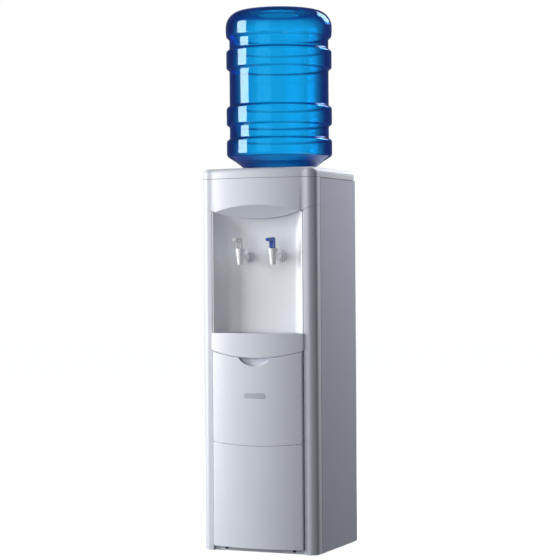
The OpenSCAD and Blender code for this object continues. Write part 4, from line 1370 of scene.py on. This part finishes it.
@dataclass(frozen=True)
class Studio:
    """Pale floor, soft lights and the camera."""

    camera_mm: Corner = (1880.0, -4282.5, 710.7)
    yaw: float = 23.7
    roll: float = -0.401
    lens: float = 120.6
    shift: Point = (0.0407, -0.0203)
    sensor: float = 36.0
    farthest: float = 60.0
    floor_radius: float = 14.0
    floor_glow: float = 0.93
    room_light: float = 0.09

    def camera(self, bench: Bench) -> None:
        """Adds the camera, level, turned towards the left and slightly rolled."""
        data = bpy.data.cameras.new("camera")
        data.sensor_width = self.sensor
        data.lens = self.lens
        data.shift_x, data.shift_y = self.shift
        data.clip_end = self.farthest
        camera = bpy.data.objects.new("camera", data)
        bpy.context.scene.collection.objects.link(camera)
        facing = Matrix.Rotation(math.radians(self.yaw), 4, "Z") @ Matrix.Rotation(math.pi / 2, 4, "X")
        camera.matrix_world = (
            Matrix.Translation(bench.to_frame() @ Vector(self.camera_mm))
            @ facing @ Matrix.Rotation(math.radians(self.roll), 4, "Z")
        )
        bpy.context.scene.camera = camera

    def light(self, name: str, azimuth: float, rise: float, distance: float,
              size: Point, power: float, aim_z: float = 0.7, mirrored: bool = True) -> None:
        """Adds a soft box that faces the dispenser.

        Args:
            name: the light's name.
            azimuth: degrees round from straight in front, towards the right.
            rise: height of the light above the point it faces, in metres.
            distance: level distance from the dispenser in metres.
            size: width and height of the box in metres.
            power: watts.
            aim_z: height of the point it faces, in metres.
            mirrored: whether glossy surfaces show its reflection.
        """
        data = bpy.data.lights.new(name, "AREA")
        data.shape = "RECTANGLE"
        data.size, data.size_y = size
        data.energy = power
        lamp = bpy.data.objects.new(name, data)
        lamp.visible_glossy = mirrored
        bpy.context.scene.collection.objects.link(lamp)
        a = math.radians(azimuth)
        place = Vector((math.sin(a) * distance, -math.cos(a) * distance, aim_z + rise))
        lamp.matrix_world = Matrix.Translation(place) @ (
            Vector((0, 0, aim_z)) - place).to_track_quat("-Z", "Y").to_matrix().to_4x4()

    def floor(self) -> None:
        """Adds the plain pale floor."""
        bm = bmesh.new()
        bmesh.ops.create_circle(bm, cap_ends=True, radius=self.floor_radius, segments=96)
        mesh = bpy.data.meshes.new("floor")
        bm.to_mesh(mesh)
        bm.free()
        mesh.materials.append(new_material("pale_studio_floor", lambda tree: {
            "Base Color": linear("#E6E7EA"), "Roughness": 0.9,
            "Emission Color": WHITE, "Emission Strength": self.floor_glow,
        }))
        floor = bpy.data.objects.new("floor", mesh)
        bpy.context.scene.collection.objects.link(floor)
        floor.visible_diffuse = False
        floor.visible_glossy = False

    def surroundings(self) -> None:
        """Sets a plain white backdrop and a dimmer even room light."""
        world = bpy.data.worlds.new("studio")
        bpy.context.scene.world = world
        world.use_nodes = True
        tree = world.node_tree
        tree.nodes.clear()
        path = add(tree, "ShaderNodeLightPath")
        seen = add(tree, "ShaderNodeMath", {
            0: path.outputs["Is Camera Ray"], 1: path.outputs["Is Transmission Ray"],
        }, operation="MAXIMUM")
        room = add(tree, "ShaderNodeBackground", {"Color": linear("#E8ECF4"), "Strength": self.room_light})
        backdrop = add(tree, "ShaderNodeBackground", {"Color": WHITE, "Strength": 1.0})
        mixed = add(tree, "ShaderNodeMixShader", {
            0: seen.outputs[0], 1: room.outputs[0], 2: backdrop.outputs[0],
        })
        add(tree, "ShaderNodeOutputWorld", {"Surface": mixed.outputs[0]})
        bpy.context.scene.view_settings.view_transform = "Standard"

    def build(self, bench: Bench) -> None:
        """Sets up the whole studio."""
        self.camera(bench)
        self.floor()
        self.surroundings()
        self.light("key_left", -64, 0.4, 3.2, (1.4, 2.6), 121)
        self.light("front_fill", -12, 0.5, 4.0, (2.4, 2.4), 48, mirrored=False)
        self.light("side_right", 156, 1.1, 1.7, (0.7, 1.0), 74, aim_z=0.95, mirrored=False)
        self.light("back_fill", 158, 2.2, 3.2, (1.6, 1.6), 26)


def main() -> None:
    """Builds the dispenser's pieces in order."""
    logging.basicConfig(level=logging.INFO, format="%(message)s", stream=sys.stdout)
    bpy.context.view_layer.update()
    bench = Bench.on_frame()
    Studio().build(bench)
    cover_low, cover_high = bench.corners("top_cover")
    plan = FrontPlan(half_width=cover_high.x, depth=cover_high.y)
    tray = TrayFront(bench, plan)
    Head(bench, plan, seam_z=cover_low.z, top_z=cover_high.z).build()
    Surround(bench, plan, seam_z=cover_low.z).build()
    Niche(bench, plan).build()
    tray.build()
    FrontPanels(bench, plan, tray).build()
    for side in Side:
        Tap(bench, side).build()
    Bottle(bench).build()
    dress_fitted()


if __name__ == "__main__":
    main()
